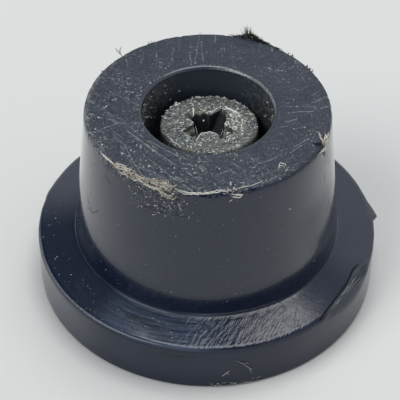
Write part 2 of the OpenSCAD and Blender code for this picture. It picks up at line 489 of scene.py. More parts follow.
def rubber_material(foot, wear):
    """Dark moulded rubber, with dust, scratches on the top and scuffs where the mesh is marked."""
    wall_degree = math.radians(wall_r((ROOT_Z + FOOT_H) / 2))
    rim_degree = math.radians(FLANGE_R)

    def build(place):
        x, y, z = place.parts()
        radius = (x * x + y * y).math("SQRT")
        turn = x.math("ARCTAN2", -y) * math.degrees(1.0)
        scuff, pale, torn = (place.mark(name) for name in ("scuff", "pale", "torn"))
        on_top = z.rise(FOOT_H - 0.17, FOOT_H - 0.04) * radius.rise(WELL_R + 0.18, WELL_R + 0.3)
        on_flange = z.span(RIM_H - 0.1, ROOT_Z + 0.05, 0.1) * radius.rise(ROOT_R - 0.1, ROOT_R)
        in_well = (1.0 - radius.rise(WELL_R, WELL_R + 0.15)) * (1.0 - z.rise(FOOT_H - 0.4, FOOT_H - 0.1))
        on_wall = z.span(ROOT_Z, FOOT_H - 0.3, 0.1) * radius.rise(WELL_R + 0.5, WELL_R + 1.0)
        on_rim = radius.rise(FLANGE_R - 0.2, FLANGE_R - 0.1) * (1.0 - z.rise(RIM_H - 0.2, RIM_H - 0.1))

        # Scratches on the top ring: drawn ones, and fields of fine hairlines.
        wobble = (place.noise(0.9, 2.0) - 0.5) * 0.12
        broken = place.noise(0.3, 2.0).rise(0.36, 0.6)
        lines = line_marks(x + wobble, y + wobble, SCRATCHES) * (0.5 + broken * 0.5)
        left = place.spin(42.0).stretch(0.10, 2.4, 1.0).noise(0.34, 3.0, 0.6).rise(0.55, 0.70)
        left = left * (-x - y).rise(0.5, 5.0)
        right = place.spin(-28.0).stretch(0.12, 2.2, 1.0).noise(0.36, 3.0, 0.6).rise(0.58, 0.72)
        right = right * (x - y).rise(1.5, 6.0)
        back = place.stretch(1.6, 0.16, 1.0).noise(0.40, 2.0).rise(0.58, 0.74) * y.rise(2.5, 6.0)
        marks = lines.top((left.top(right * 0.7)).top(back * 0.6) * broken * 0.8) * on_top

        # Dark scratches on the wall and on the rim of the flange.
        shake = (turn.beside(z).noise(1.2, 2.0) - 0.5) * 0.4
        wall_marks = unrolled(WALL_MARKS, wall_degree)
        wall_marks = line_marks(turn * wall_degree + shake, z + shake, wall_marks) * on_wall
        rim_marks = unrolled(RIM_MARKS, rim_degree)
        rim_marks = line_marks(turn * rim_degree + shake, z + shake * 0.3, rim_marks) * on_rim

        # Painted shade in the crease behind the bruise, and the dragged ridges on it.
        bruise = math.radians(wear.bruise_turn)
        along = x * math.cos(bruise) + y * math.sin(bruise)
        depth = x * math.sin(bruise) - y * math.cos(bruise)
        dent = ((along - DENT_ALONG) * (along - DENT_ALONG) * -1.0).math("EXPONENT") * DENT_DEPTH
        inside = (FLANGE_R - wear.bruise_bite) - dent - depth
        crease_shade = inside.span(-0.02, 0.13, 0.03) * along.span(-4.3, 2.2, 0.5)
        crease_shade = crease_shade * z.rise(RIM_H - 0.2, RIM_H - 0.05)
        ridges = (along * 0.12).beside((z - depth) * 1.6).noise(0.3, 2.0, 0.5).rise(0.46, 0.6)
        ridges = ridges * torn * (1.0 - on_top)

        # Fine dust, crumbs and stains on the top ring, and dust along the worn edges.
        grain = place.noise(0.15, 4.0, 0.7)
        fine = place.noise(0.075, 2.0, 0.6)
        film = place.noise(2.6, 3.0, 0.6).rise(0.3, 0.75)
        busy = ((x * -0.5 - y * 0.7).rise(-6.0, 4.0) * 0.6 + 0.4) * on_top
        crowd = place.noise(1.3, 2.0, 0.6).rise(0.45, 0.62) * 0.9 + 0.1
        flecks = place.noise(0.21, 2.0, 0.6).rise(0.60, 0.655) * busy * crowd * 1.15
        stains = (1.0 - place.noise(0.28, 2.0, 0.6).rise(0.35, 0.46)) * busy
        settled = on_top * 0.3 + on_flange * 0.05 + on_wall * 0.05 + 0.02
        dust = (grain.rise(0.56, 0.76) * settled).top(flecks)
        edge = radius.rise(TOP_R - 0.5, TOP_R - 0.15) * z.rise(FOOT_H - 0.6, FOOT_H - 0.25)
        dust = dust.top(edge * turn.span(*DUSTY_EDGE) * grain.rise(0.38, 0.62) * 0.55)
        brink = radius.span(FLANGE_R - 0.17, FLANGE_R - 0.03, 0.03) * z.rise(RIM_H - 0.12, RIM_H - 0.02)
        dust = dust.top(brink * turn.span(*BRIGHT_EDGE) * (0.25 + grain.rise(0.4, 0.6) * 0.3))
        dust = dust.top(fine.rise(0.60, 0.68) * grain.rise(0.45, 0.6) * (on_top * 0.26 + on_wall * 0.09))
        mottle = (0.35 + film * 0.25 + grain.rise(0.3, 0.7) * 0.4) * on_top

        # Brown dirt in the well, and a painted highlight along its rounded mouth, faint all round and
        # strongest from the right to the back.
        dirt = in_well * place.noise(0.35, 3.0, 0.7).rise(0.46, 0.62) * abs(x).rise(1.5, 4.2)
        # The painted highlight along the mouth of the well.
        mouth = radius.span(WELL_R + 0.03, WELL_R + 0.2, 0.04) * z.rise(FOOT_H - 0.32, FOOT_H - 0.12)
        mouth = mouth * (turn.span(*PAINTED_MOUTH_HIGHLIGHT) * 0.5 + 0.12) * (0.5 + grain.rise(0.4, 0.6) * 0.5)

        # Streaks dragged round the flange, dark dashes between them, and a stretch of painted sheen where the
        # lamp's highlight fades out to the left.
        ring = (turn * 0.02).beside(radius * 2.2)
        streaks = ring.noise(0.3, 3.0, 0.65).rise(0.54, 0.7) * on_flange * turn.span(*STREAKED)
        dashes = ring.noise(0.16, 2.0, 0.5).rise(0.5, 0.6) * turn.span(*DASHED)
        dashes = dashes * radius.span(FLANGE_R - 1.8, FLANGE_R - 1.2, 0.15)
        sheen = turn.span(*PAINTED_SHEEN) * on_flange * (ring.noise(0.5, 3.0, 0.6).rise(0.36, 0.62) * 0.55 + 0.2)

        # Painted reflection: a lighter, grainy colour low on both sides of the wall, and on the flange and
        # the rim, standing in for the light they reflect.
        low_wall = turn.span(*PAINTED_REFLECTION_WALL_LEFT) + turn.span(*PAINTED_REFLECTION_WALL_RIGHT) * z.rise(*PAINTED_REFLECTION_RIGHT_RISE) * 0.6
        painted_reflection = z.span(ROOT_Z + 0.7, PAINTED_REFLECTION_TOP, 1.4) * low_wall * on_wall * (0.42 + film * 0.5)
        low_flange = turn.span(*PAINTED_REFLECTION_FLANGE_LEFT) * 0.35 + turn.span(*PAINTED_REFLECTION_FLANGE_RIGHT) * 0.2
        painted_reflection = painted_reflection + low_flange * on_flange + turn.span(*PAINTED_REFLECTION_RIM) * on_rim * 0.22

        worn = scuff * (0.15 + fine.rise(0.5, 0.7) * grain.rise(0.42, 0.6) * 0.85)
        # Dark scratches, stains and dashes, and the painted shade in the crease behind the bruise.
        dark = (wall_marks * 0.9).top(crease_shade * 0.95).top(stains * 0.55).top(dashes * on_flange)
        dark = dark.top(scuff * (1.0 - grain.rise(0.30, 0.46)) * 0.9).top(rim_marks * 0.8)
        color = film.blend(foot.color, foot.film_color)
        for layer, paint in (
            (mottle, foot.top_color),
            # The wall of the well is painted lighter: partly dust, partly painted reflection in place of the
            # gloss taken off there.
            (in_well * 0.9, foot.well_dust_and_light_color),
            (dirt * 0.8, wear.grime),
            (dust * wear.dust, foot.dust_color),
            # Painted highlight along the mouth of the well.
            (mouth, foot.scratch_and_highlight_color),
            (marks * wear.scratch, foot.scratch_and_highlight_color),
            # Painted sheen on the flange, which also tints its dragged streaks.
            (sheen + streaks * 0.25, foot.sheen_color),
            # Painted reflection low on the wall, the flange and the rim.
            (painted_reflection * (0.75 + grain * 0.5), foot.scuff_and_reflection_color),
            (worn, foot.scuff_and_reflection_color),
            (ridges * 0.2, foot.scuff_and_reflection_color),
            (pale, foot.pale_color),
            (dark, foot.dark_mark_and_shade_color),
        ):
            color = layer.clip().blend(color, paint)

        # Wear and dirt take the gloss off.
        rough = foot.rough + on_top * foot.top_rough + on_flange * 0.03 + scuff * 0.35 + dust * 0.3
        rough = rough + in_well * 0.25 + (film - 0.5) * 0.04 + marks * 0.1 + dark * 0.3
        rough = rough + crease_shade * 0.6 + streaks * 0.14
        gloss = z.rise(RIM_H - 0.1, RIM_H + 0.1) * (1.0 - on_flange * 0.4)
        gloss = gloss - on_top * foot.top_worn - scuff * 0.9 - dust * 0.5 - in_well - dark - torn * 0.6
        gloss = gloss - turn.span(*DULL_RIGHT) * z.span(*DULL_HEIGHT) * 0.85

        # Fine relief: wrinkles and streaks on the flange, and the grain of every surface.
        wrinkles = place.spin(-66.0).stretch(0.22, 0.85, 0.4).noise(0.2, 2.0, 0.5) * turn.span(*WRINKLED)
        swirl = place.stretch(1.0, 1.0, 0.4).noise(0.3, 2.0, 0.5)
        height = (swirl * 0.004 + wrinkles * 0.055 - streaks * 0.004 - dashes * 0.02) * on_flange
        height = height + grain * (0.002 + on_wall * 0.006 + on_top * 0.014 + scuff * 0.05)
        height = height - marks * 0.012 - dark * (1.0 - crease_shade) * 0.03 + ridges * 0.02
        return {
            "Base Color": color,
            "Roughness": rough.clip(),
            "Coat Weight": gloss.clip(),
            "Normal": bump(height),
        }

    fixed = {"IOR": foot.ior, "Coat IOR": foot.coat_ior, "Coat Roughness": foot.coat_rough}
    return new_material("worn_rubber", build, fixed)


def island_material(name, colors, rough, size, odd_from=0.75, speckled_from=0.35):
    """A material for many small bits: each has its own shade between the given colours."""

    def build(place):
        chance = place.node("ShaderNodeNewGeometry", {}, {}, "Random Per Island")
        color = chance.blend(colors[0], colors[1])
        color = chance.rise(odd_from, odd_from + 0.1).blend(color, colors[2])
        grain = place.noise(size, 3.0, 0.6)
        color = grain.rise(speckled_from, 0.75).blend(color, colors[3])
        return {"Base Color": color, "Normal": bump(grain * 0.02)}

    return new_material(name, build, {"Roughness": rough})


def number_setting(label, default, about, **kind):
    """A number property, with a unit or a subtype where one fits."""
    return bpy.props.FloatProperty(name=label, description=about, default=default, **kind)


def length_setting(label, default, about):
    """A length property, from its default in millimetres."""
    return number_setting(label, default * MM, about, unit="LENGTH", precision=5)


def angle_setting(label, default, about):
    """An angle property, from its default in degrees."""
    return number_setting(label, math.radians(default), about, subtype="ANGLE")


def share_setting(label, default, about):
    """A property between 0 and 1."""
    return number_setting(label, default, about, subtype="FACTOR", min=0.0, max=1.0)


def place_setting(label, default, about):
    """A place property in metres."""
    return bpy.props.FloatVectorProperty(
        name=label, description=about, default=default, subtype="TRANSLATION", unit="LENGTH"
    )


def tint_setting(label, default, about):
    """A colour property."""
    return bpy.props.FloatVectorProperty(
        name=label, description=about, default=default, subtype="COLOR", size=3, min=0.0, max=1.0
    )


# Blender keeps settings in single precision, which is rounded off to this many places.
PLACES = 5


def plain(group):
    """A group's settings as plain values, with lengths in millimetres and angles in degrees."""
    scales = {"LENGTH": 1 / MM, "ROTATION": math.degrees(1.0)}
    values = SimpleNamespace()
    for name, kind in group.bl_rna.properties.items():
        value = getattr(group, name)
        if kind.type == "FLOAT" and kind.unit in scales:
            value = round(value * scales[kind.unit], PLACES)
        setattr(values, name, value)
    return values


class FootSettings(bpy.types.PropertyGroup):
    """Form and finish of the moulded foot"""

    columns: bpy.props.IntProperty(name="Columns", description="Mesh columns round the foot", default=760)
    step: length_setting("Mesh step", 0.36, "Longest step of the mesh along its visible section")
    unevenness: length_setting("Unevenness", 0.03, "How far the moulded surface wanders")
    top_edge_r: length_setting("Top edge", 0.22, "Rounding of the top edge at the back")
    worn_edge_r: length_setting("Worn edge", 0.42, "Rounding of the worn top edge at the front")
    root_r: length_setting("Root", 0.09, "Rounding where the body meets the flange")
    rough: share_setting("Roughness", 0.12, "Roughness of the moulded rubber")
    top_rough: share_setting("Top roughness", 0.36, "Roughness that wear adds")
    top_worn: share_setting("Top wear", 0.9, "Share of the gloss that wear takes off")
    ior: number_setting("IOR", 1.48, "Index of refraction of the rubber")
    coat_rough: share_setting("Gloss roughness", 0.07, "Roughness of the handled body")
    coat_ior: number_setting("Gloss IOR", 1.31, "Index of refraction of the handled body")
    color: tint_setting("Rubber", (0.0028, 0.0085, 0.0285), "Colour of the rubber")
    film_color: tint_setting("Film", (0.0056, 0.0120, 0.0335), "Colour of rubber under a thin film of dust")
    top_color: tint_setting("Top", (0.039, 0.050, 0.071), "Colour of the worn top ring")
    dust_color: tint_setting("Dust", (0.44, 0.46, 0.47), "Colour of fine dust")
    # Colour of scratches, and of the painted highlight along the mouth of the well.
    scratch_and_highlight_color: tint_setting("Scratch", (0.44, 0.46, 0.47), "Colour of scratches")
    # Colour of the painted sheen on the flange, which also tints its dragged streaks.
    sheen_color: tint_setting("Sheen", (0.070, 0.097, 0.150), "Colour of streaks round the flange")
    # Colour of scuffed rubber, and of the painted reflection low on the wall, the flange and the rim.
    scuff_and_reflection_color: tint_setting("Scuff", (0.165, 0.178, 0.20), "Colour of scuffed rubber")
    # Colour of dark scratches, stains and dashes, and of the painted shade in the crease behind the bruise.
    dark_mark_and_shade_color: tint_setting("Crease", (0.003, 0.004, 0.006), "Colour of dark creases and scratches")
    pale_color: tint_setting("Torn rubber", (0.42, 0.36, 0.26), "Colour of torn rubber")
    # Colour of the wall of the screw well: partly dust, partly painted reflection.
    well_dust_and_light_color: tint_setting("Well", (0.042, 0.052, 0.076), "Colour of the wall of the screw well")


class WearSettings(bpy.types.PropertyGroup):
    """Wear, tears and dirt"""

    dust: share_setting("Dust", 0.8, "Strength of the dust")
    scratch: share_setting("Scratches", 0.66, "Strength of the scratches")
    lip_from: angle_setting("Lip start", -58.0, "Where the torn top edge starts, from the front")
    lip_to: angle_setting("Lip end", 22.0, "Where the torn top edge ends, from the front")
    lip_chip: length_setting("Lip chips", 0.16, "Depth of the chips in the torn edge")
    bruise_turn: angle_setting("Bruise", 59.0, "Direction of the bruise on the flange, from the front")
    bruise_bite: length_setting("Bruise width", 0.65, "Width of the bruise on the top of the flange")
    bruise_drop: length_setting("Bruise height", 0.95, "Height of the bruise on the rim")
    notch_turn: angle_setting("Notch", 64.8, "Direction of the notch in the top edge, from the front")
    burr: length_setting("Burr", 0.45, "How far the burr stands out of the flange")
    # In the crumbling lip the palest bits are partly painted highlight.
    torn_pale: tint_setting("Torn, pale", (0.80, 0.77, 0.69), "Palest torn rubber")
    torn_tan: tint_setting("Torn, tan", (0.31, 0.27, 0.205), "Tan torn rubber")
    # Dark bits, and also painted shade in the gaps of the crumbling lip.
    torn_dark_and_shade: tint_setting("Torn, dark", (0.06, 0.055, 0.04), "Dark torn rubber")
    speck: tint_setting("Specks", (0.66, 0.67, 0.66), "Pale dust specks")
    lint: tint_setting("Lint", (0.022, 0.022, 0.020), "Dark lint")
    hair: tint_setting("Hair", (0.24, 0.23, 0.21), "Pale hairs")
    grime: tint_setting("Grime", (0.15, 0.143, 0.12), "Dusty grime in the well")


class ScrewSettings(bpy.types.PropertyGroup):
    """Form and finish of the screw"""

    columns: bpy.props.IntProperty(name="Columns", description="Mesh columns round the screw", default=480)
    pitch: length_setting("Pitch", 0.7, "Pitch of the thread")
    thread_depth: length_setting("Thread depth", 0.38, "Depth of the thread")
    recess_d: length_setting("Recess", 4.1, "Width of the cross recess over two wings")
    wing_w: length_setting("Wing", 1.4, "Width of one wing of the recess")
    corner_r: length_setting("Corner", 0.28, "Rounding of the corners between two wings")
    lobe_r: length_setting("Front lobe", 0.72, "Rounding of the worn front corner of the recess")
    recess_depth: length_setting("Recess depth", 1.7, "Depth of the wings of the recess")
    floor_d: length_setting("Recess floor", 2.3, "Width of the recess at the bottom of its wings")
    cone_h: length_setting("Cone", 0.3, "Depth of the cone below the wings")
    wing_turn: angle_setting("Recess turn", 45.0, "Direction of one wing, from +X")
    crust: length_setting("Crust", 0.03, "Height of the crust on the head")
    steel: tint_setting("Steel", (0.215, 0.235, 0.235), "Colour of the dull plating")
    bright: tint_setting("Bright", (0.84, 0.86, 0.82), "Colour of bright grains")
    dark: tint_setting("Pits", (0.030, 0.033, 0.035), "Colour of dark pits")
    olive: tint_setting("Dirt", (0.19, 0.195, 0.145), "Colour of caked dirt")
    # Colour of the painted shade in the recess and on the side of the head.
    painted_shade_color: tint_setting("Recess", (0.011, 0.014, 0.020), "Colour of the inside of the recess")


class StageSettings(bpy.types.PropertyGroup):
    """Floor, light and camera"""

    elevation: angle_setting("Elevation", 45.72, "Height of the camera above the horizon")
    distance: length_setting("Distance", 117.5, "Distance of the camera from the origin")
    lens: number_setting("Lens", 138.2, "Focal length for the sensor", unit="CAMERA")
    sensor: number_setting("Sensor", 36.0, "Width of the sensor", unit="CAMERA")
    pan: angle_setting("Pan", -0.251, "Sideways turn of the camera off the origin")
    tilt: angle_setting("Tilt", 2.246, "Upward turn of the camera off the origin")
    roll: angle_setting("Roll", -0.740, "Roll of the camera")
    floor_color: tint_setting("Floor", (0.80, 0.805, 0.785), "Colour of the floor")
    floor_size: number_setting("Floor size", 6.0, "Width of the floor", unit="LENGTH")
    key_place: place_setting("Lamp", (0.092, 0.19, 0.93), "Place of the overhead lamp")
    key_size: number_setting("Lamp size", 0.62, "Width of the lamp", unit="LENGTH")
    key_power: number_setting("Lamp power", 3.75, "Power of the lamp", unit="POWER")
    front_place: place_setting("Front lamp", (-0.64, -0.40, 0.86), "Place of the lamp at the front left")
    front_size: number_setting("Front size", 0.7, "Width of the front lamp", unit="LENGTH")
    front_power: number_setting("Front power", 4.4, "Power of the front lamp", unit="POWER")
    sky_low: tint_setting("Sky, dim side", (0.07, 0.085, 0.11), "Light from the dim side")
    sky_high: tint_setting("Sky, bright side", (0.50, 0.52, 0.54), "Light from the bright side")


class FootSuite(bpy.types.PropertyGroup):
    """All settings of the worn foot"""

    foot: bpy.props.PointerProperty(type=FootSettings)
    wear: bpy.props.PointerProperty(type=WearSettings)
    screw: bpy.props.PointerProperty(type=ScrewSettings)
    stage: bpy.props.PointerProperty(type=StageSettings)


def fine_section(corners, step, closed):
    """A section with its long straight stretches divided into steps."""
    ends = np.vstack([corners, corners[:1]]) if closed else corners
    rows = []
    for a, b in zip(ends[:-1], ends[1:]):
        run = np.linalg.norm(b - a)
        hidden = max(a[1], b[1]) < 0.05 or max(a[0], b[0]) < WELL_R + 0.02
        count = max(1, math.ceil(run / (step * 4 if hidden else step)))
        rows += [a + (b - a) * k / count for k in range(count)]
    if not closed:
        rows.append(ends[-1])
    return np.array(rows)


def rerounded(section, chosen, radius, steps=10):
    """The section with one rounded corner drawn again at another radius."""
    first, last = np.flatnonzero(chosen)[[0, -1]]
    before, after = section[first - 1], section[last + 1]
    way_in = (section[first] - before) / np.linalg.norm(section[first] - before)
    way_out = (after - section[last]) / np.linalg.norm(after - section[last])
    run, _ = np.linalg.solve(np.stack([way_in, way_out], axis=1), after - before)
    corner = before + run * way_in
    sweep = math.acos(np.dot(way_in, way_out))
    inward = (way_out - way_in) / np.linalg.norm(way_out - way_in)
    centre = corner + inward * radius / math.cos(sweep / 2)
    start = corner - way_in * radius * math.tan(sweep / 2) - centre
    end = corner + way_out * radius * math.tan(sweep / 2) - centre
    share = np.linspace(0.0, 1.0, steps + 1)[:, None]
    arc = centre + (np.sin((1.0 - share) * sweep) * start + np.sin(share * sweep) * end) / math.sin(sweep)
    return np.vstack([section[:first], arc, section[last + 1 :]])


class RUBBERFOOT_OT_foot(bpy.types.Operator):
    """Build the moulded foot with its worn edges"""

    bl_idname = "rubberfoot.foot"
    bl_label = "Build foot"

    def execute(self, context):
        suite = context.scene.rubber_foot
        foot, wear = plain(suite.foot), plain(suite.wear)
        corner = (FOOT[:, 1] > FOOT_H - 0.27) & (FOOT[:, 0] > TOP_R - 0.3)
        crisp, worn = (rerounded(FOOT, corner, r) for r in (foot.top_edge_r, foot.worn_edge_r))
        root = (crisp[:, 1] > RIM_H + 0.2) & (crisp[:, 1] < ROOT_Z + 0.01)
        root = root & (np.abs(crisp[:, 0] - ROOT_R) < 0.25)
        section = fine_section(rerounded(crisp, root, foot.root_r, 4), foot.step, True)
        shift = np.zeros_like(section)
        for old, new in zip(crisp, worn):
            shift[np.linalg.norm(section - old, axis=1).argmin()] = new - old
        turn = np.linspace(-180.0, 180.0, foot.columns, endpoint=False)
        turn, radius = np.meshgrid(turn, section[:, 0])
        front = span(turn, *WORN_FRONT)
        radius = radius + shift[:, :1] * front
        height = section[:, 1:] + shift[:, 1:] * front
        points = at(turn, radius, height)
        on_rim = (radius > FLANGE_R - 0.3) & (height < RIM_H + 0.1)
        outside = radius > WELL_R + 0.1
        upper = height > RIM_H + 0.3

        # The mould and years of use leave the surfaces slightly uneven.
        soft = rise(height, 0.1, 1.5) * (1.0 - rise(height, FOOT_H - 0.6, FOOT_H - 0.2))
        radius = radius + foot.unevenness * soft * outside * wander(points, 4.5, 3.1)
        on_top = rise(height, FOOT_H - 0.25, FOOT_H - 0.02)
        height = height + 0.6 * foot.unevenness * on_top * wander(points, 2.5, 7.7)
        edge_wave = wander(points, 1.1, 1.3)
        near_edge = rise(radius, FLANGE_R - 0.5, FLANGE_R - 0.05) * rise(height, RIM_H - 0.6, RIM_H - 0.1)
        radius = radius + 0.022 * edge_wave * near_edge

        # Chips along the torn front of the top edge, and an uneven edge all round.
        edge = rise(radius, TOP_R - 0.7, TOP_R - 0.05) * rise(height, FOOT_H - 0.75, FOOT_H - 0.1) * upper
        torn = span(turn, wear.lip_from, wear.lip_to, 4.0)
        chip = np.clip(wander(points, 0.42, 5.2) + 0.25, 0.0, 1.0) * wear.lip_chip
        small = np.clip(wander(points, 0.3, 8.4), 0.0, 1.0) * 0.05
        bite = (torn * chip + small) * edge
        height = height - bite
        radius = radius - 0.6 * bite

        # A notch is torn out of the top edge at the right.
        gap = np.abs(turn - wear.notch_turn - 1.6 * (FOOT_H - height))
        notch = (1.0 - rise(gap, 0.6, 1.9)) * rise(radius, TOP_R - 0.7, TOP_R - 0.25)
        notch = notch * rise(height, FOOT_H - 0.9, FOOT_H - 0.3)
        radius = radius - 0.32 * notch * upper
        height = height - 0.22 * notch * upper

        # The scuffed patch below the torn edge.
        patch = span(turn, *PATCH) * rise(height, FOOT_H - 2.25, FOOT_H - 1.95)
        patch = patch * (1.0 - rise(height, FOOT_H - 0.3, FOOT_H)) * upper * (radius > TOP_R - 0.4)
        rough = wander(points, 0.32, 2.2) + 0.6 * wander(points, 0.16, 9.1)
        radius = radius + patch * (0.055 * rough - 0.02)

        # The bruise is a slanting flat with dragged ridges; the crease behind it is not shaped here but
        # painted as shade in the rubber's material.
        away = np.radians(turn - wear.bruise_turn)
        depth = radius * np.cos(away)
        along = radius * np.sin(away)
        ridges = 0.03 * np.sin(2 * math.pi * (height / 0.26 + 0.3 * wander(points, 0.9, 4.4)))
        over = depth - bruise_depth(along, height, wear) - ridges * (height < RIM_H + 0.3)
        hit = (height < RIM_H + 0.6) & (np.abs(away) < 0.6) & (radius > ROOT_R + 0.5)
        push = np.where(hit, np.clip(over, 0.0, None), 0.0)
        depth = depth - push
        bruised = rise(push, 0.02, 0.15)
        turn = np.where(push > 0, wear.bruise_turn + np.degrees(np.arctan2(along, depth)), turn)
        radius = np.where(push > 0, np.hypot(depth, along), radius)

        # A burr of flash at the right, and thin flash along the flange edge.
        lip = rise(height, RIM_H - 0.75, RIM_H - 0.25) * on_rim
        flap = np.minimum(rise(turn, *BURR_START), 1.0 - rise(turn, *BURR_END))
        radius = radius + wear.burr * flap * lip
        height = height - 0.25 * flap * lip
        flash = span(turn, *FLASH) * (0.5 + 0.5 * edge_wave)
        radius = radius + 0.10 * flash * lip
        bead = np.exp(-(((radius - (FLANGE_R - 0.2)) / 0.13) ** 2))
        bead = bead * (height > RIM_H - 0.15) * (height < RIM_H + 0.4) * span(turn, *BEADED)
        height = height + 0.016 * bead * (0.7 + 0.5 * wander(points, 2.0, 6.6))

        flayed = np.clip(bite / wear.lip_chip * torn * 1.2 - 0.25, 0.0, 1.0)
        pale = 0.35 * flayed * rise(wander(points, 0.25, 1.9), -0.1, 0.3) + 0.18 * flap * lip
        marks = {
            "scuff": np.clip(patch + 0.3 * bruised + 0.5 * notch, 0.0, 1.0),
            "pale": np.clip(pale, 0.0, 1.0),
            "torn": np.clip(notch + bruised, 0.0, 1.0),
        }
        faces = grid_faces(len(section), foot.columns, True)
        rubber = rubber_material(foot, wear)
        make_piece("worn_foot", at(turn, radius, height), faces, rubber, "foot_body", marks)
        return {"FINISHED"}


def cross_r(turn, screw):
    """Radius of the mouth of the cross recess at each turn."""
    tip, half = screw.recess_d / 2, screw.wing_w / 2
    off = np.abs((turn - 90.0 - screw.wing_turn + 45.0) % 90.0 - 45.0)
    side = half / np.sin(np.radians(np.maximum(off, 5.0)))
    centre = screw.wing_w / math.sqrt(2) + screw.corner_r * math.sqrt(2)
    lean = np.radians(45.0 - off)
    inner = np.sqrt(np.clip(screw.corner_r**2 - (centre * np.sin(lean)) ** 2, 0.0, None))
    touch = math.degrees(math.atan2(half, centre / math.sqrt(2)))
    mouth = np.minimum(tip, np.where(off > touch, centre * np.cos(lean) - inner, side))
    # Wear has rounded the front corner into a broad lobe.
    far = centre - screw.corner_r + screw.lobe_r
    front = np.radians((turn + 180.0) % 360.0 - 180.0)
    across = far * np.sin(front)
    lobe = far * np.cos(front) - np.sqrt(np.clip(screw.lobe_r**2 - across**2, 0.0, None))
    return np.where((np.abs(across) < screw.lobe_r) & (np.cos(front) > 0.0), np.minimum(mouth, lobe), mouth)


def recess_z(x, y, screw):
    """Height below the head's top of what fills the recess, and how much of it is dirt."""
    tip, floor, corner = screw.recess_d / 2, screw.floor_d / 2, screw.wing_w / math.sqrt(2)
    radius = np.hypot(x, y)
    bare = -screw.recess_depth * (1.0 - np.clip((radius - floor) / (tip - floor), 0.0, 1.0))
    bare = bare - screw.cone_h * np.clip(1.0 - radius / corner, 0.0, 1.0)
    place = np.stack([x, y, np.zeros_like(x)], axis=-1)
    ragged = 0.10 * wander(place, 0.35, 6.3)
    # The open middle runs from front to back, and dirt is packed into the wings on both its sides.
    left = rise(-0.99 - 0.215 * y - x + ragged, -0.03, 0.14)
    right = rise(x - 1.05 - np.where(y < 0.0, 0.244, 0.05) * y + ragged, -0.03, 0.14)
    behind = rise(y - 1.06 + ragged, -0.05, 0.1) * (x < 0.0)
    level = np.where(y < 0.0, -0.36, np.where(y > 1.0, -0.10, -0.30))
    level = np.where(x > 0.0, np.where(y < -0.4, -0.40, -0.12), level)
    coarse = np.where(x > 0.0, 2.2, 1.0)
    level = level + coarse * (0.10 * wander(place, 0.22, 3.7) + 0.06 * wander(place, 0.1, 8.8))
    level = level - 0.35 * np.exp(-(((x + 1.13) ** 2 + (y + 0.79) ** 2) / 0.2**2))
    level = level - 0.6 * np.exp(-(((x + 1.38) ** 2 + (y - 1.18) ** 2) / 0.14**2))
    packed = np.clip(left + right + behind, 0.0, 1.0)
    return np.maximum(bare, bare + (level - bare) * packed), packed


# The crown of the screw head falls away by this much out to this radius.
CROWN_DROP = 0.05
CROWN_R = 2.4


def head_z(x, y, screw):
    """Height of the top of the head, or of what fills its recess."""
    radius = math.hypot(x, y)
    dome = HEAD_TOP - CROWN_DROP * (radius / CROWN_R) ** 2
    if radius > cross_r(np.array(math.degrees(math.atan2(x, -y)) + 360.0), screw):
        return dome
    return dome + float(recess_z(np.array(x), np.array(y), screw)[0])


def screw_material(screw):
    """Dull plated steel under a granular crust of corrosion and dirt, with painted shade in the recess and on
    the side of the head.
    """

    def build(place):
        dirt, deep, edge = (place.mark(name) for name in ("dirt", "deep", "edge"))
        grain = place.noise(0.17, 3.0, 0.65)
        fine = place.noise(0.07, 2.0, 0.6)
        patches = place.noise(1.3, 2.0, 0.5)
        strokes = (1.0 - abs(place.noise(0.42, 1.0, 0.5) - 0.5) * 22.0).clip()
        strokes = strokes * place.noise(0.6, 1.0).rise(0.45, 0.6)
        color = grain.rise(0.36, 0.60).blend(screw.dark, screw.steel)
        color = (patches.rise(0.48, 0.64) * 0.5 + dirt * 0.45).clip().blend(color, screw.olive)
        spots = place.noise(0.24, 2.0, 0.6).rise(0.58, 0.70)
        spots = spots.top(strokes * fine.rise(0.42, 0.6) * 0.7)
        color = (spots * (0.75 + dirt * 0.25)).clip().blend(color, screw.bright)
        # The worn mouth of the recess: barer metal, with a painted highlight in places.
        color = (edge * fine.rise(0.3, 0.5)).clip().blend(color, screw.bright)
        pits = 1.0 - place.noise(0.13, 2.0, 0.5).rise(0.36, 0.46)
        color = (pits * 0.85).clip().blend(color, screw.dark)
        # Painted shade, deep in the recess and on the side of the head below the crown.
        color = deep.clip().blend(color, screw.painted_shade_color)
        rough = (0.5 + grain * 0.25 + dirt * 0.2 - edge * 0.2).clip()
        metal = ((1.0 - dirt) * (1.0 - pits) * (0.25 + edge * 0.4) * (1.0 - deep)).clip()
        height = grain * 0.06 + fine * 0.035 + strokes * 0.02
        return {"Base Color": color, "Roughness": rough, "Metallic": metal, "Normal": bump(height)}

    return new_material("dirty_steel", build, {"IOR": 1.5})


# Stretches round the screw, as degrees from its front: start, end, and how soft both ends are.
# DULL_LIP leaves out the painted highlight on the mouth of the recess, and BRIGHT_LIP gives it in full.
DULL_LIP = (60.0, 115.0, 4.0)
BRIGHT_LIP = (142.0, 178.0, 4.0)
HEAPED = (58.0, 122.0, 14.0)
# Rows of the mesh on the crown, on the wall of the recess and on its floor, and per pitch of the thread.
CROWN_ROWS = 26
RECESS_ROWS = 8
FLOOR_ROWS = 30
THREAD_ROWS = 8


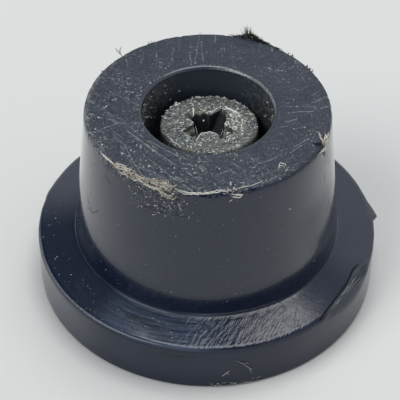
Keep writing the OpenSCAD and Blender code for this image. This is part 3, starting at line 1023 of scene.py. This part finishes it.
class RUBBERFOOT_OT_screw(bpy.types.Operator):
    """Build the screw with its thread, its packed recess and its crust"""

    bl_idname = "rubberfoot.screw"
    bl_label = "Build screw"

    def execute(self, context):
        screw = plain(context.scene.rubber_foot.screw)
        turn = np.linspace(-180.0, 180.0, screw.columns, endpoint=False)
        outline = SCREW[: int(SCREW[:, 1].argmax()) + 1]
        rows_r, rows_z, rows_marks = [], [], []

        def row(radius, height, deep=0.0, dirt=0.0, edge=0.0):
            rows_r.append(np.broadcast_to(radius, turn.shape))
            rows_z.append(np.broadcast_to(height, turn.shape))
            rows_marks.append([np.broadcast_to(v, turn.shape) for v in (deep, dirt, edge)])

        # The thread runs from the chamfered end up to the neck.
        shank = outline[outline[:, 1] < HEAD_Z - 0.05]
        row(0.0, 0.0)
        for z in np.arange(0.0, HEAD_Z - 0.3, screw.pitch / THREAD_ROWS):
            envelope = np.interp(z, shank[:, 1], shank[:, 0])
            phase = (z / screw.pitch - turn / 360.0) % 1.0
            tooth = np.clip(1.2 - 2.4 * np.abs(phase - 0.5), 0.0, 1.0)
            row(envelope - np.minimum(screw.thread_depth, 0.9 * envelope) * (1.0 - tooth), z)
        head = fine_section(outline[outline[:, 1] > HEAD_Z - 0.25], 0.14, False)
        head = head[(head[:, 1] < HEAD_Z + 0.01) | (head[:, 0] > HEAD_R - 0.3)]
        # The side of the head below the crown gets painted shade.
        for r, z in head:
            row(r, z, 0.8 * rise(head[-1][1] - z, 0.12, 0.5))
        crown_r, crown_z = head[-1]

        # The mouth of the cross recess has a worn edge of barer metal, with a painted highlight along it in
        # places.
        mouth = cross_r(turn + 360.0, screw)
        dome = (HEAD_TOP - crown_z) / (crown_r - mouth.min())
        edge_wear_and_glint = np.array([noise.noise((t * 0.16, 4.1, 2.0)) for t in turn])
        edge_wear_and_glint = rise(edge_wear_and_glint, -0.15, 0.25) * (1.0 - span(turn, *DULL_LIP))
        edge_wear_and_glint = np.maximum(edge_wear_and_glint, span(turn, *BRIGHT_LIP))
        for k in range(1, CROWN_ROWS + 1):
            r = crown_r + (mouth + 0.05 - crown_r) * k / CROWN_ROWS
            row(r, crown_z + dome * (crown_r - r), 0.0, 0.0, edge_wear_and_glint * rise(k, CROWN_ROWS - 3.0, CROWN_ROWS))
        top = crown_z + dome * (crown_r - mouth)
        row(mouth + 0.015, top - 0.02, 0.0, 0.0, edge_wear_and_glint)
        x, y, _ = np.moveaxis(at(turn, mouth, 0.0), -1, 0)
        fill, packed = recess_z(x, y, screw)
        # The walls and the floor of the recess get painted shade, darker the deeper they lie and where the
        # floor drops steeply.
        for k in range(1, RECESS_ROWS + 1):
            z = top - 0.05 + (fill + 0.05) * k / RECESS_ROWS
            recess_shade = rise(top - z, 0.04, 0.24) * (1.0 - 0.5 * packed)
            row(mouth, z, recess_shade, packed * rise(z - top, -0.5, -0.1))
        for k in range(1, FLOOR_ROWS + 1):
            r = mouth * (1.0 - k / FLOOR_ROWS)
            x, y, _ = np.moveaxis(at(turn, r, 0.0), -1, 0)
            fill, packed = recess_z(x, y, screw)
            recess_shade = rise(-fill, 0.03, 0.4) * (1.0 - 0.8 * packed * rise(fill, -0.6, -0.3))
            inner, _ = recess_z(x * 0.94, y * 0.94, screw)
            recess_shade = np.maximum(recess_shade, rise(fill - inner, 0.12, 0.4))
            row(r, top + fill, recess_shade, packed)

        radius, height = np.array(rows_r), np.array(rows_z)
        grid = np.broadcast_to(turn, radius.shape)
        deep, dirt, edge = np.moveaxis(np.array(rows_marks), 1, 0)
        points = at(grid, radius, height)
        on_head = rise(height, HEAD_Z + 0.5, HEAD_Z + 1.5) * (1.0 - deep)
        crust = wander(points, 0.34, 4.4) + 0.7 * wander(points, 0.17, 6.1)
        # Loose dirt is heaped over the right of the head.
        heap = span(grid, *HEAPED) * rise(radius, 0.9, 1.2) * (1.0 - rise(radius, 2.3, 2.9))
        crust = crust * (1.0 + 1.8 * heap) + 0.8 * heap
        height = height + screw.crust * crust * on_head
        radius = radius * (1.0 + 0.004 * crust * on_head)
        points = leaning(at(grid, radius, height))
        faces = grid_faces(len(radius), screw.columns, False)
        marks = {"deep": deep, "dirt": np.clip(dirt + 0.7 * heap * on_head, 0.0, 1.0), "edge": edge}
        make_piece("dirty_screw", points, faces, screw_material(screw), "fixing_screw", marks)
        return {"FINISHED"}


def path_through(corners, wiggle, seed, step=0.06):
    """A wandering path through places given as degrees from the front, radius and height."""
    corners = np.array(corners, float)
    runs = np.linalg.norm(np.diff(at(*corners.T), axis=0), axis=1)
    reach = np.concatenate([[0.0], np.cumsum(runs)])
    share = np.linspace(0.0, reach[-1], max(8, math.ceil(reach[-1] / step)))
    path = at(*(np.interp(share, reach, corners[:, k]) for k in range(3)))
    slow = np.stack([wander(path, 0.7, seed + k * 2.9) for k in range(3)], axis=-1)
    fast = np.stack([wander(path, 0.25, seed + k * 4.7) for k in range(3)], axis=-1)
    return path + wiggle * (slow + 0.5 * fast)


def stepped(corners, radius, height):
    """Places given as degrees from the front, and as steps off a radius and a height."""
    return [(turn, radius + out, height + up) for turn, out, up in corners]


# Where the torn top edge runs, as degrees from the front, and radius off the top edge.
LIP = (
    (-58.0, -0.06), (-46.0, -0.12), (-31.0, -0.14), (-22.0, -0.24), (-14.0, -0.19),
    (-7.4, -0.05), (0.0, -0.14), (8.0, -0.32), (15.5, -0.37), (27.0, -0.45),
)
# Slivers of torn rubber: places as degrees from the front, radius and height off the top edge, and thickness.
TAN_SLIVERS = (
    (((-31.0, -0.04, 0.0), (-24.7, -0.40, 0.04), (-19.4, -0.72, 0.05),
      (-16.5, -0.45, 0.03), (-13.9, -0.19, 0.0)), 0.07),
    (((-33.0, -0.02, 0.0), (-25.8, 0.03, -0.12), (-20.9, 0.06, -0.2),
      (-16.7, 0.12, -0.45), (-14.5, 0.1, -0.3)), 0.075),
    (((-29.0, -0.2, 0.04), (-24.0, -0.2, 0.03), (-19.0, -0.1, -0.02), (-15.5, 0.02, -0.12)), 0.06),
    (((-22.0, 0.04, -0.22), (-18.5, 0.14, -0.52), (-16.7, 0.17, -0.70),
      (-14.2, 0.14, -0.60), (-12.7, 0.05, -0.25)), 0.055),
    (((-20.0, 0.05, -0.3), (-17.0, 0.16, -0.58), (-15.0, 0.12, -0.42), (-16.5, 0.07, -0.3)), 0.045),
    (((-12.7, 0.08, -1.0), (-11.6, 0.12, -1.2), (-10.9, 0.10, -1.55)), 0.05),
    (((72.9, -0.80, 0.02), (68.4, -0.40, 0.06), (66.4, -0.08, 0.03), (66.6, 0.04, -0.32)), 0.09),
    (((74.6, -0.02, 0.0), (69.8, 0.09, -0.03), (66.6, 0.03, -0.15)), 0.08),
    (((72.2, -0.22, 0.12), (69.3, -0.05, 0.08), (67.0, 0.02, -0.1)), 0.11),
    (((67.5, 0.05, -0.42), (65.0, 0.06, -0.30), (62.4, 0.05, -0.2), (60.2, 0.04, -0.12)), 0.12),
)
PALE_SLIVERS = (
    (((10.2, 0.02, -0.2), (12.0, 0.09, -0.11), (14.4, 0.1, -0.14), (15.6, 0.05, -0.26),
      (14.2, 0.12, -0.40), (11.8, 0.12, -0.36), (10.4, 0.05, -0.26)), 0.03),
    (((11.0, 0.04, -0.3), (13.0, 0.1, -0.22), (15.0, 0.08, -0.3), (16.2, 0.05, -0.2)), 0.026),
    (((37.2, -0.8, 0.02), (39.0, -1.1, 0.1), (41.0, -1.2, 0.12),
      (42.3, -0.95, 0.08), (41.4, -0.7, 0.03)), 0.03),
    (((38.2, -0.95, 0.02), (40.0, -1.05, 0.05), (41.6, -0.85, 0.03)), 0.022),
    (((39.3, -0.5, 0.02), (40.4, -0.45, 0.06), (41.5, -0.55, 0.02)), 0.025),
)
# Strands of the thin pale lip: start and end as degrees, steps out and up from the torn edge, and thickness.
PALE_LIP = (
    (-15.0, 10.0, 0.0, 0.0, 0.036), (-13.0, 4.0, 0.06, -0.05, 0.03),
    (-3.0, 16.0, 0.05, -0.06, 0.03), (13.0, 27.0, 0.0, 0.0, 0.02),
)
# Pale flecks on the wall below the torn edge, as degrees from the front and height below the top.
WALL_FLECKS = (
    (-27.0, 1.1), (-32.7, 1.2), (-22.5, 1.55), (-10.6, 1.85), (-23.3, 2.35), (-30.8, 0.55),
    (-39.1, 0.5), (-29.3, 2.0), (-18.4, 1.1), (-36.0, 0.8), (-26.0, 1.7), (-16.0, 1.5),
    (-25.0, 0.9), (-21.0, 2.0), (10.5, 0.6), (39.0, 2.9),
)
# Pale lines along the bruise: start and end along it, depth below the top of the rim, and thickness.
BRUISE_LINES = (
    (-2.6, 0.9, 0.05, 0.009), (-0.6, 1.3, 0.2, 0.008), (-0.1, 1.7, 0.34, 0.006), (-2.0, -1.2, 0.16, 0.010),
)


def on_lip(turn, out, up):
    """A place off the torn top edge."""
    return turn, TOP_R + np.interp(turn, *np.array(LIP).T) + out, FOOT_H + up


def torn_edge(wear):
    """A thin curled lip at the left swells into a crumbling one and ends in loose slivers."""
    tan = Heap(11)
    dice = tan.dice
    for k in range(3):
        turns = np.linspace(-58.0 + 2.0 * k, -44.0 + k, 12)
        tan.strand(path_through([on_lip(t, 0.03 * k - 0.05, -0.04) for t in turns], 0.06, 3.1 * k), 0.042)
    for k in range(95):
        start, run = dice.uniform(-47.0, -20.0), dice.uniform(1.5, 7.0)
        out = dice.gauss(-0.06, 0.14)
        turns = np.linspace(start, start + run, 6)
        path = path_through([on_lip(t, out, 0.02 - 0.5 * max(0.0, out)) for t in turns], 0.16, 1.7 * k)
        tan.strand(path, dice.uniform(0.012, 0.034))
    for _ in range(420):
        turn, out = dice.gauss(-35.0, 9.0), dice.gauss(-0.07, 0.16)
        if -47.0 < turn < -14.0:
            up = dice.uniform(-0.06, 0.07) - 0.7 * max(0.0, out)
            tan.crumb(at(*on_lip(turn, out, up)), dice.uniform(0.02, 0.075))
    for corners, thick in TAN_SLIVERS:
        for k in range(4):
            path = path_through(stepped(corners, TOP_R, FOOT_H), 0.16, 5.3 * k + thick * 100.0)
            tan.strand(path, thick * (0.46 - 0.08 * k))
    # Tan and pale bits are torn rubber, the palest partly painted highlight; the dark bits are painted shade
    # in the gaps between strands.
    colors = (wear.torn_tan, wear.torn_pale, wear.torn_dark_and_shade, wear.torn_pale)
    tan.piece("torn_edge", island_material("torn_tan", colors, 0.7, 0.12, 0.70, 0.37), "rubber")


def pale_shreds(wear):
    """A thin pale lip runs across the front and frays out to the right, with flecks and slivers beside it."""
    pale = Heap(23)
    dice = pale.dice
    for start, end, out, up, thick in PALE_LIP:
        turns = np.linspace(start, end, 14)
        pale.strand(path_through([on_lip(t, out, up) for t in turns], 0.10, start), thick)
    for _ in range(110):
        turn = dice.uniform(-15.0, 17.0)
        place = at(*on_lip(turn, dice.gauss(0.02, 0.06), dice.uniform(-0.10, 0.02)))
        pale.crumb(place, dice.uniform(0.02, 0.06))
    for corners, thick in PALE_SLIVERS:
        pale.strand(path_through(stepped(corners, TOP_R, FOOT_H), 0.04, thick * 90.0), thick)
    for _ in range(14):
        turn = 40.0 + dice.gauss(0.0, 1.5)
        pale.crumb(at(turn, TOP_R - 0.8 + dice.gauss(0.0, 0.22), FOOT_H + 0.02), dice.uniform(0.02, 0.05))
    bruise = math.radians(wear.bruise_turn)
    for start, end, below, thick in BRUISE_LINES:
        along = np.linspace(start, end, 24)
        height = RIM_H - below + 0.04 * np.sin(3.0 * along)
        depth = bruise_depth(along, height, wear) + 0.005
        x = depth * math.sin(bruise) + along * math.cos(bruise)
        y = along * math.sin(bruise) - depth * math.cos(bruise)
        pale.strand(np.stack([x, y, height], axis=-1), thick)
    for turn, below in WALL_FLECKS:
        z = FOOT_H - below
        lean, run = dice.uniform(-1.0, 1.0), dice.uniform(0.4, 1.0)
        ends = stepped(((turn - run, 0.02, -0.1 * lean), (turn + run, 0.03, 0.1 * lean)), wall_r(z), z)
        pale.strand(path_through(ends, 0.06, turn), dice.uniform(0.014, 0.028))
    colors = (wear.torn_pale, wear.speck, wear.torn_tan, wear.torn_pale)
    pale.piece("pale_shreds", island_material("torn_pale", colors, 0.65, 0.12), "rubber")


class RUBBERFOOT_OT_tears(bpy.types.Operator):
    """Build the shreds of torn rubber along the top edge"""

    bl_idname = "rubberfoot.tears"
    bl_label = "Build tears"

    def execute(self, context):
        wear = plain(context.scene.rubber_foot.wear)
        torn_edge(wear)
        pale_shreds(wear)
        return {"FINISHED"}


# Burrs on the back of the top edge: degrees from the front, and size.
EDGE_BURRS = (
    (-176.0, 0.05), (166.0, 0.07), (138.0, 0.08), (135.5, 0.09),
    (123.5, 0.09), (121.0, 0.08), (-150.0, 0.05), (-118.0, 0.06),
)
# Hairs on the top edge and on the rim: places as degrees from the front, steps out and up, and thickness.
EDGE_HAIRS = (
    (((-133.0, -0.2, -0.02), (-133.4, 0.4, 0.1), (-134.4, 0.85, 0.16)), 0.055),
    (((-133.0, -0.1, -0.02), (-134.0, 0.3, 0.14), (-136.2, 0.5, 0.3)), 0.03),
)
RIM_HAIRS = (
    (((10.0, 0.03, 2.75), (12.5, 0.05, 2.3), (14.4, 0.04, 1.75), (15.4, 0.05, 1.1)), 0.035),
    (((12.5, 0.04, 2.3), (13.6, 0.05, 2.35), (14.5, 0.04, 2.1)), 0.025),
    (((14.4, 0.04, 1.75), (15.6, 0.05, 1.5)), 0.025),
    (((5.5, 0.03, 1.15), (6.8, 0.05, 1.5), (8.2, 0.04, 1.75)), 0.035),
    (((6.5, 0.03, 1.6), (8.0, 0.05, 1.35)), 0.025),
)


def lint(wear):
    """Fibres lie along the back edge and pile up in one tuft."""
    tuft = Heap(31)
    dice = tuft.dice
    for _ in range(320):
        turn = dice.triangular(141.0, 169.0, 158.0)
        pile = math.exp(-(((turn - 158.5) / 5.0) ** 2))
        run = dice.uniform(1.5, 5.0)
        out, up = dice.uniform(-0.2, 0.03 + 0.25 * pile), dice.uniform(-0.2, 0.04 + 0.38 * pile)
        lift = dice.gauss(0.0, 0.04 + 0.12 * pile)
        ends = ((turn - run / 2, out, up - lift), (turn + run / 2, out * 0.5, up + lift))
        path = path_through(stepped(ends, TOP_R, FOOT_H), 0.08, dice.uniform(0.0, 50.0), 0.1)
        tuft.strand(path, dice.uniform(0.010, 0.024), 4)
        tuft.crumb(at(turn, TOP_R + 0.6 * out, FOOT_H + 0.7 * up - 0.03), dice.uniform(0.03, 0.08))
    for k in range(70):
        lean, up = dice.gauss(0.8, 1.7), dice.triangular(0.2, 0.95, 0.3)
        ends = stepped(((160.0 + 0.4 * lean, 0.0, 0.0), (160.0 + lean, 0.5 * up, up)), TOP_R, FOOT_H)
        tuft.strand(path_through(ends, 0.06, k * 3.3, 0.1), dice.uniform(0.006, 0.012), 4)
    for turn, size in EDGE_BURRS:
        for _ in range(7):
            place = at(
                turn + dice.gauss(0.0, 0.8),
                TOP_R + dice.uniform(-0.15, 0.06),
                FOOT_H + dice.uniform(-0.08, 0.06),
            )
            tuft.crumb(place, size * dice.uniform(0.4, 1.0))
    colors = (wear.lint, wear.lint, wear.torn_dark_and_shade, wear.lint)
    tuft.piece("lint", island_material("lint", colors, 0.9, 0.1))


def hairs(wear):
    """Single hairs stand out of the back edge and cling to the rim, with short fibres at its foot."""
    strands = Heap(37)
    dice = strands.dice
    for paths, radius, height in ((EDGE_HAIRS, TOP_R, FOOT_H), (RIM_HAIRS, FLANGE_R, 0.0)):
        for corners, thick in paths:
            path = path_through(stepped(corners, radius, height), 0.03, thick * 70.0, 0.1)
            strands.strand(path, thick, 4)
    for k in range(9):
        turn, z, run = dice.uniform(4.0, 17.0), dice.uniform(0.1, 0.45), dice.uniform(0.6, 2.2)
        ends = stepped(((turn, 0.01, 0.0), (turn + run, 0.03, dice.uniform(-0.05, 0.2))), FLANGE_R, z)
        strands.strand(path_through(ends, 0.02, k * 1.9, 0.1), dice.uniform(0.009, 0.018), 4)
    colors = (wear.hair, wear.speck, wear.hair, wear.hair)
    strands.piece("hairs", island_material("hairs", colors, 0.8, 0.1))


class RUBBERFOOT_OT_lint(bpy.types.Operator):
    """Build the lint and hairs that cling to the foot"""

    bl_idname = "rubberfoot.lint"
    bl_label = "Build lint"

    def execute(self, context):
        wear = plain(context.scene.rubber_foot.wear)
        lint(wear)
        hairs(wear)
        return {"FINISHED"}


# Crumbs that stand out on the top ring: place in millimetres, and size.
RING_CRUMBS = (
    (-5.3, 1.65, 0.13), (-5.75, 1.7, 0.11), (-5.55, 1.45, 0.07), (-6.5, 0.9, 0.12), (-6.65, 0.75, 0.08),
    (-7.1, 0.1, 0.14), (-8.0, -0.8, 0.13), (-7.55, -1.1, 0.13), (-7.7, -2.3, 0.08), (-7.7, -2.65, 0.09),
    (-7.3, -3.2, 0.09), (-6.95, -3.35, 0.1), (-7.4, -3.6, 0.08), (-7.15, -3.95, 0.09), (-5.75, -4.8, 0.12),
    (-4.25, -6.15, 0.11), (-3.9, -6.05, 0.13), (-4.45, -5.45, 0.07), (-5.55, -1.2, 0.06), (-5.15, -0.1, 0.06),
    (-4.5, -1.65, 0.07), (-5.0, -1.7, 0.06), (-6.9, 1.7, 0.07), (-6.95, 1.4, 0.06), (-2.05, -4.7, 0.09),
    (-1.8, -5.2, 0.08), (-1.2, -5.8, 0.09), (-2.1, -7.1, 0.08), (4.15, -4.1, 0.06), (4.45, -4.05, 0.06),
    (4.7, -4.1, 0.06), (6.65, -1.9, 0.09), (5.25, 4.35, 0.07), (5.05, 4.35, 0.06), (4.4, 4.6, 0.07),
    (5.8, 0.35, 0.06), (6.2, 0.38, 0.06), (7.5, 0.13, 0.06), (4.6, 6.7, 0.08), (-6.35, 3.75, 0.06),
)
# Flakes of dirt and plating on the screw head, and bright strands along its edges that are painted
# highlights: ends from the middle of its top, and thickness.
FLAKES_AND_GLINTS = (
    (((-1.16, 1.70, 0.02), (-1.15, 1.2, 0.05), (-1.18, 0.66, 0.03)), 0.05),
    (((1.0, 2.0, 0.04), (1.6, 1.5, 0.07), (2.2, 1.02, 0.04)), 0.085),
    (((0.1, 1.2, 0.02), (0.5, 1.62, 0.05), (1.0, 2.0, 0.05)), 0.055),
    (((1.07, 0.0, 0.0), (1.15, -0.2, 0.04), (1.25, -0.42, 0.03)), 0.075),
    (((1.42, 1.1, -0.02), (1.55, 0.95, 0.05), (1.5, 0.75, 0.0)), 0.10),
    (((-0.15, 1.25, 0.02), (0.0, 1.3, 0.05), (0.25, 1.36, 0.02)), 0.05),
    (((2.3, 0.0, 0.0), (2.32, -0.25, 0.03), (2.25, -0.45, 0.0)), 0.05),
    (((1.98, -0.35, 0.0), (1.92, -0.5, 0.03), (1.85, -0.75, 0.0)), 0.05),
    (((1.8, -1.6, 0.0), (1.72, -1.8, 0.02), (1.55, -1.85, 0.0)), 0.045),
    (((1.5, -1.7, 0.0), (1.4, -1.95, 0.02), (1.3, -2.2, 0.0)), 0.045),
    (((2.35, 0.6, 0.0), (2.4, 0.4, 0.02), (2.3, 0.25, 0.0)), 0.04),
    # These strands trace edges in bright colour, the front lobe of the recess, the edges of its packed dirt
    # and the front rim of the head: painted highlights, along the rim partly its bright crust.
    (((-0.88, -2.6, -0.02), (-0.85, -2.03, 0.0), (-0.73, -1.55, 0.0), (-0.51, -1.27, 0.0), (-0.06, -1.1, 0.0),
      (0.45, -1.21, 0.0), (0.79, -1.6, 0.0)), 0.03),
    (((-0.99, 0.11, -0.3), (-0.9, -0.5, -0.32), (-0.79, -1.13, -0.34)), 0.009),
    (((0.97, -0.2, -0.33), (0.9, -0.6, -0.36), (0.82, -1.07, -0.38)), 0.009),
    (((-2.9, -1.6, -0.06), (-2.5, -2.2, -0.06), (-1.9, -2.9, -0.08)), 0.03),
    (((-1.2, -3.15, -0.1), (0.0, -3.35, -0.1), (1.3, -3.1, -0.1), (2.1, -2.6, -0.1)), 0.025),
)
# A crumb that shines in the recess: its place on the head, and its depth below the top.
RECESS_CRUMB = (-0.39, 0.96)
RECESS_CRUMB_DEPTH = 0.53


def dust_specks(wear):
    """Specks on the top ring, the wall, the scuffed patch, the flange and the foot of its rim."""
    specks = Heap(41)
    dice = specks.dice
    for _ in range(60):
        turn = dice.uniform(-180.0, 180.0)
        place = at(turn, dice.uniform(WELL_R + 0.4, TOP_R - 0.3), FOOT_H + 0.01)
        specks.crumb(place, dice.uniform(0.015, 0.045), 0.3)
    for x, y, size in RING_CRUMBS:
        specks.crumb((x, y, FOOT_H + 0.02), size, 0.5)
        for _ in range(5):
            place = (x + dice.gauss(0.0, 1.6 * size), y + dice.gauss(0.0, 1.6 * size), FOOT_H + 0.01)
            specks.crumb(place, size * dice.uniform(0.15, 0.45), 0.4)
    for _ in range(110):
        turn, z = dice.triangular(-80.0, 75.0, -40.0), dice.uniform(ROOT_Z + 0.4, FOOT_H - 0.6)
        specks.crumb(at(turn, wall_r(z) + 0.005, z), dice.triangular(0.012, 0.05, 0.018))
    for _ in range(110):
        turn, z = dice.gauss(-22.0, 7.5), dice.uniform(FOOT_H - 2.3, FOOT_H - 0.3)
        specks.crumb(at(turn, wall_r(z) + 0.01, z), dice.triangular(0.015, 0.07, 0.03))
    for _ in range(120):
        turn, r = dice.triangular(-115.0, 30.0, -45.0), dice.uniform(ROOT_R + 0.3, FLANGE_R - 0.3)
        specks.crumb(at(turn, r, flange_z(r) + 0.01), dice.triangular(0.02, 0.085, 0.03), 0.5)
    for _ in range(36):
        turn = dice.gauss(11.0, 4.5)
        place = at(turn, FLANGE_R - 0.02 + dice.uniform(0.0, 0.1), dice.uniform(0.05, 0.4))
        specks.crumb(place, dice.uniform(0.02, 0.09))
    colors = (wear.hair, wear.speck, wear.speck, wear.speck)
    specks.piece("dust_specks", island_material("dust_specks", colors, 0.8, 0.05))


def head_crumbs(screw):
    """Crumbs heaped on the right of the screw head, strewn over it, and along its back edge."""
    crumbs = Heap(47)
    dice = crumbs.dice
    for _ in range(110):
        x, y = dice.gauss(1.75, 0.38), dice.gauss(0.1, 0.6)
        z, size = head_z(x, y, screw), dice.uniform(0.04, 0.13)
        if z > HEAD_TOP - 0.6:
            crumbs.crumb(leaning((x, y, z + 0.02)), size)
    for _ in range(300):
        angle, reach = dice.uniform(0.0, FULL_TURN), dice.uniform(1.5, 3.35)
        x, y = reach * math.cos(angle), reach * math.sin(angle)
        z, size = head_z(x, y, screw), dice.triangular(0.03, 0.16, 0.05)
        if z > HEAD_TOP - 0.2:
            crumbs.crumb(leaning((x, y, z)), size, 0.4)
    for _ in range(90):
        angle, reach = dice.uniform(-0.2, 3.0), HEAD_R - dice.uniform(0.05, 0.3)
        place = (reach * math.cos(angle), reach * math.sin(angle), HEAD_TOP - 0.1)
        crumbs.crumb(leaning(place), dice.uniform(0.05, 0.17))
    crumbs.crumb(leaning((*RECESS_CRUMB, HEAD_TOP - RECESS_CRUMB_DEPTH)), 0.09)
    colors = (screw.olive, screw.bright, screw.dark, screw.bright)
    crumbs.piece("head_crumbs", island_material("head_crumbs", colors, 0.8, 0.06))


def head_flakes_and_glints(screw):
    """Bright flakes on the screw head, painted highlights along its edges, and more flakes in the heap at its
    right.
    """
    flakes = Heap(53)
    dice = flakes.dice
    for corners, thick in FLAKES_AND_GLINTS:
        corners = np.array(corners)
        share = np.linspace(0.0, len(corners) - 1.0, 8 * len(corners))
        path = np.stack([np.interp(share, np.arange(len(corners)), c) for c in corners.T], axis=-1)
        path = path + 0.05 * np.stack([wander(path, 0.35, k * 2.1) for k in range(3)], axis=-1)
        flakes.strand(leaning(path + (0.0, 0.0, HEAD_TOP)), thick)
    for _ in range(46):
        x, y = dice.gauss(1.75, 0.4), dice.gauss(0.0, 0.75)
        z, size = head_z(x, y, screw), dice.triangular(0.03, 0.17, 0.06)
        if z > HEAD_TOP - 0.6:
            flakes.crumb(leaning((x, y, z + 0.03)), size, 0.6)
    colors = (screw.bright, screw.bright, screw.olive, screw.bright)
    flakes.piece("head_flakes_and_glints", island_material("head_flakes_and_glints", colors, 0.6, 0.12, 0.8))


def well_grime(wear):
    """Grime on both sides of the wall of the well, a patch of it at the left, and a little all round."""
    grime = Heap(43)
    dice = grime.dice
    for middle in (-95.0, 80.0):
        for _ in range(210):
            turn = dice.gauss(middle, 24.0)
            z = FOOT_H - 0.5 - abs(dice.gauss(0.0, 1.5))
            grime.crumb(at(turn, WELL_R - 0.02, z), dice.uniform(0.03, 0.12))
    for _ in range(30):
        place = at(dice.gauss(-101.0, 5.0), WELL_R - 0.01, FOOT_H - dice.uniform(0.45, 1.2))
        grime.crumb(place, dice.uniform(0.05, 0.13))
    for _ in range(90):
        place = at(dice.uniform(-180, 180), WELL_R - 0.02, FOOT_H - dice.uniform(0.4, 4.0))
        grime.crumb(place, dice.uniform(0.02, 0.06))
    colors = (wear.grime, wear.torn_dark_and_shade, wear.speck, wear.grime)
    grime.piece("well_grime", island_material("well_grime", colors, 0.85, 0.08))


class RUBBERFOOT_OT_dust(bpy.types.Operator):
    """Build the dust specks, the dirt on the screw head and the grime in the well"""

    bl_idname = "rubberfoot.dust"
    bl_label = "Build dust"

    def execute(self, context):
        suite = context.scene.rubber_foot
        wear, screw = plain(suite.wear), plain(suite.screw)
        dust_specks(wear)
        head_crumbs(screw)
        head_flakes_and_glints(screw)
        well_grime(wear)
        return {"FINISHED"}


# The floor lies this far below the foot, in metres, so that their faces don't meet.
FLOOR_GAP = 0.00002
# Nearest distance that the camera sees, in metres.
NEAR = 0.005


def turned(a, b, angle):
    """Two directions turned together in their own plane."""
    return a * math.cos(angle) - b * math.sin(angle), a * math.sin(angle) + b * math.cos(angle)


def add_floor(scene, stage):
    """A plain wide floor."""
    half = stage.floor_size / 2
    corners = [(-half, -half, 0), (half, -half, 0), (half, half, 0), (-half, half, 0)]
    mesh = bpy.data.meshes.new("floor")
    mesh.from_pydata(corners, [], [(0, 1, 2, 3)])
    finish = {"Base Color": (*stage.floor_color, 1.0), "Roughness": 0.85}
    mesh.materials.append(new_material("floor", lambda place: {}, finish))
    floor = bpy.data.objects.new("floor", mesh)
    floor.location.z = -FLOOR_GAP
    scene.collection.objects.link(floor)


def add_lamp(scene, name, place, size, power):
    """A round lamp that shines at the origin."""
    lamp = bpy.data.lights.new(name, "AREA")
    lamp.shape = "DISK"
    lamp.size = size
    lamp.energy = power
    light = bpy.data.objects.new(name, lamp)
    light.location = place
    light.rotation_euler = Vector(place).to_track_quat("Z", "Y").to_euler()
    scene.collection.objects.link(light)


def add_sky(scene, stage):
    """Light from all round, bright at the right, in front and low down, and dim high up in front."""
    world = bpy.data.worlds.new("sky")
    world.use_nodes = True
    tree = world.node_tree
    x, y, z = Wire(tree, tree.nodes.new("ShaderNodeTexCoord").outputs["Generated"]).parts()
    light = (x * 0.9 + y * 0.25 + 0.2).rise(-0.35, 0.75).top((-y).rise(0.0, 0.8))
    light = light.top(1.0 - z.rise(0.12, 0.42)) * (1.0 - (z - y).rise(1.1, 1.36) * 0.9)
    color = light.blend(stage.sky_low, stage.sky_high)
    tree.links.new(color.socket, tree.nodes["Background"].inputs["Color"])
    scene.world = world


def add_camera(scene, stage):
    """The camera looks at the origin from the front, and then turns a little off it."""
    data = bpy.data.cameras.new("camera")
    data.lens = stage.lens
    data.sensor_width = stage.sensor
    data.clip_start = NEAR
    camera = bpy.data.objects.new("camera", data)
    scene.collection.objects.link(camera)
    ahead = Vector((0.0, math.cos(stage.elevation), -math.sin(stage.elevation)))
    right = Vector((1.0, 0.0, 0.0))
    above = right.cross(ahead)
    place = -ahead * stage.distance
    right, ahead = turned(right, ahead, stage.pan)
    above, ahead = turned(above, ahead, stage.tilt)
    right, above = turned(right, above, stage.roll)
    facing = Matrix((right, above, -ahead)).transposed().to_4x4()
    camera.matrix_world = Matrix.Translation(place) @ facing
    scene.camera = camera


class RUBBERFOOT_OT_stage(bpy.types.Operator):
    """Build the floor, the light and the camera"""

    bl_idname = "rubberfoot.stage"
    bl_label = "Build stage"

    def execute(self, context):
        scene = context.scene
        stage = scene.rubber_foot.stage
        add_floor(scene, stage)
        add_lamp(scene, "key", stage.key_place, stage.key_size, stage.key_power)
        add_lamp(scene, "front", stage.front_place, stage.front_size, stage.front_power)
        add_sky(scene, stage)
        add_camera(scene, stage)
        scene.view_settings.view_transform = "Standard"
        return {"FINISHED"}


class RUBBERFOOT_PT_panel(bpy.types.Panel):
    """Buttons and settings of the worn foot"""

    bl_idname = "RUBBERFOOT_PT_panel"
    bl_label = "Rubber Foot"
    bl_space_type = "VIEW_3D"
    bl_region_type = "UI"
    bl_category = "Rubber Foot"

    def draw(self, context):
        suite = context.scene.rubber_foot
        for operator in OPERATORS:
            self.layout.operator(operator.bl_idname)
        for group in (suite.foot, suite.wear, suite.screw, suite.stage):
            box = self.layout.box()
            for name in group.bl_rna.properties.keys():
                if name not in ("rna_type", "name"):
                    box.prop(group, name)


OPERATORS = (
    RUBBERFOOT_OT_foot,
    RUBBERFOOT_OT_screw,
    RUBBERFOOT_OT_tears,
    RUBBERFOOT_OT_lint,
    RUBBERFOOT_OT_dust,
    RUBBERFOOT_OT_stage,
)
SETTINGS = (FootSettings, WearSettings, ScrewSettings, StageSettings, FootSuite)
CLASSES = (*SETTINGS, *OPERATORS, RUBBERFOOT_PT_panel)


def register():
    for cls in CLASSES:
        bpy.utils.register_class(cls)
    bpy.types.Scene.rubber_foot = bpy.props.PointerProperty(type=FootSuite)


def unregister():
    del bpy.types.Scene.rubber_foot
    for cls in reversed(CLASSES):
        bpy.utils.unregister_class(cls)


def main():
    register()
    for build in (
        bpy.ops.rubberfoot.foot,
        bpy.ops.rubberfoot.screw,
        bpy.ops.rubberfoot.tears,
        bpy.ops.rubberfoot.lint,
        bpy.ops.rubberfoot.dust,
        bpy.ops.rubberfoot.stage,
    ):
        if build() != {"FINISHED"}:
            raise RuntimeError(f"{build.idname()} did not finish")


if __name__ == "__main__":
    main()
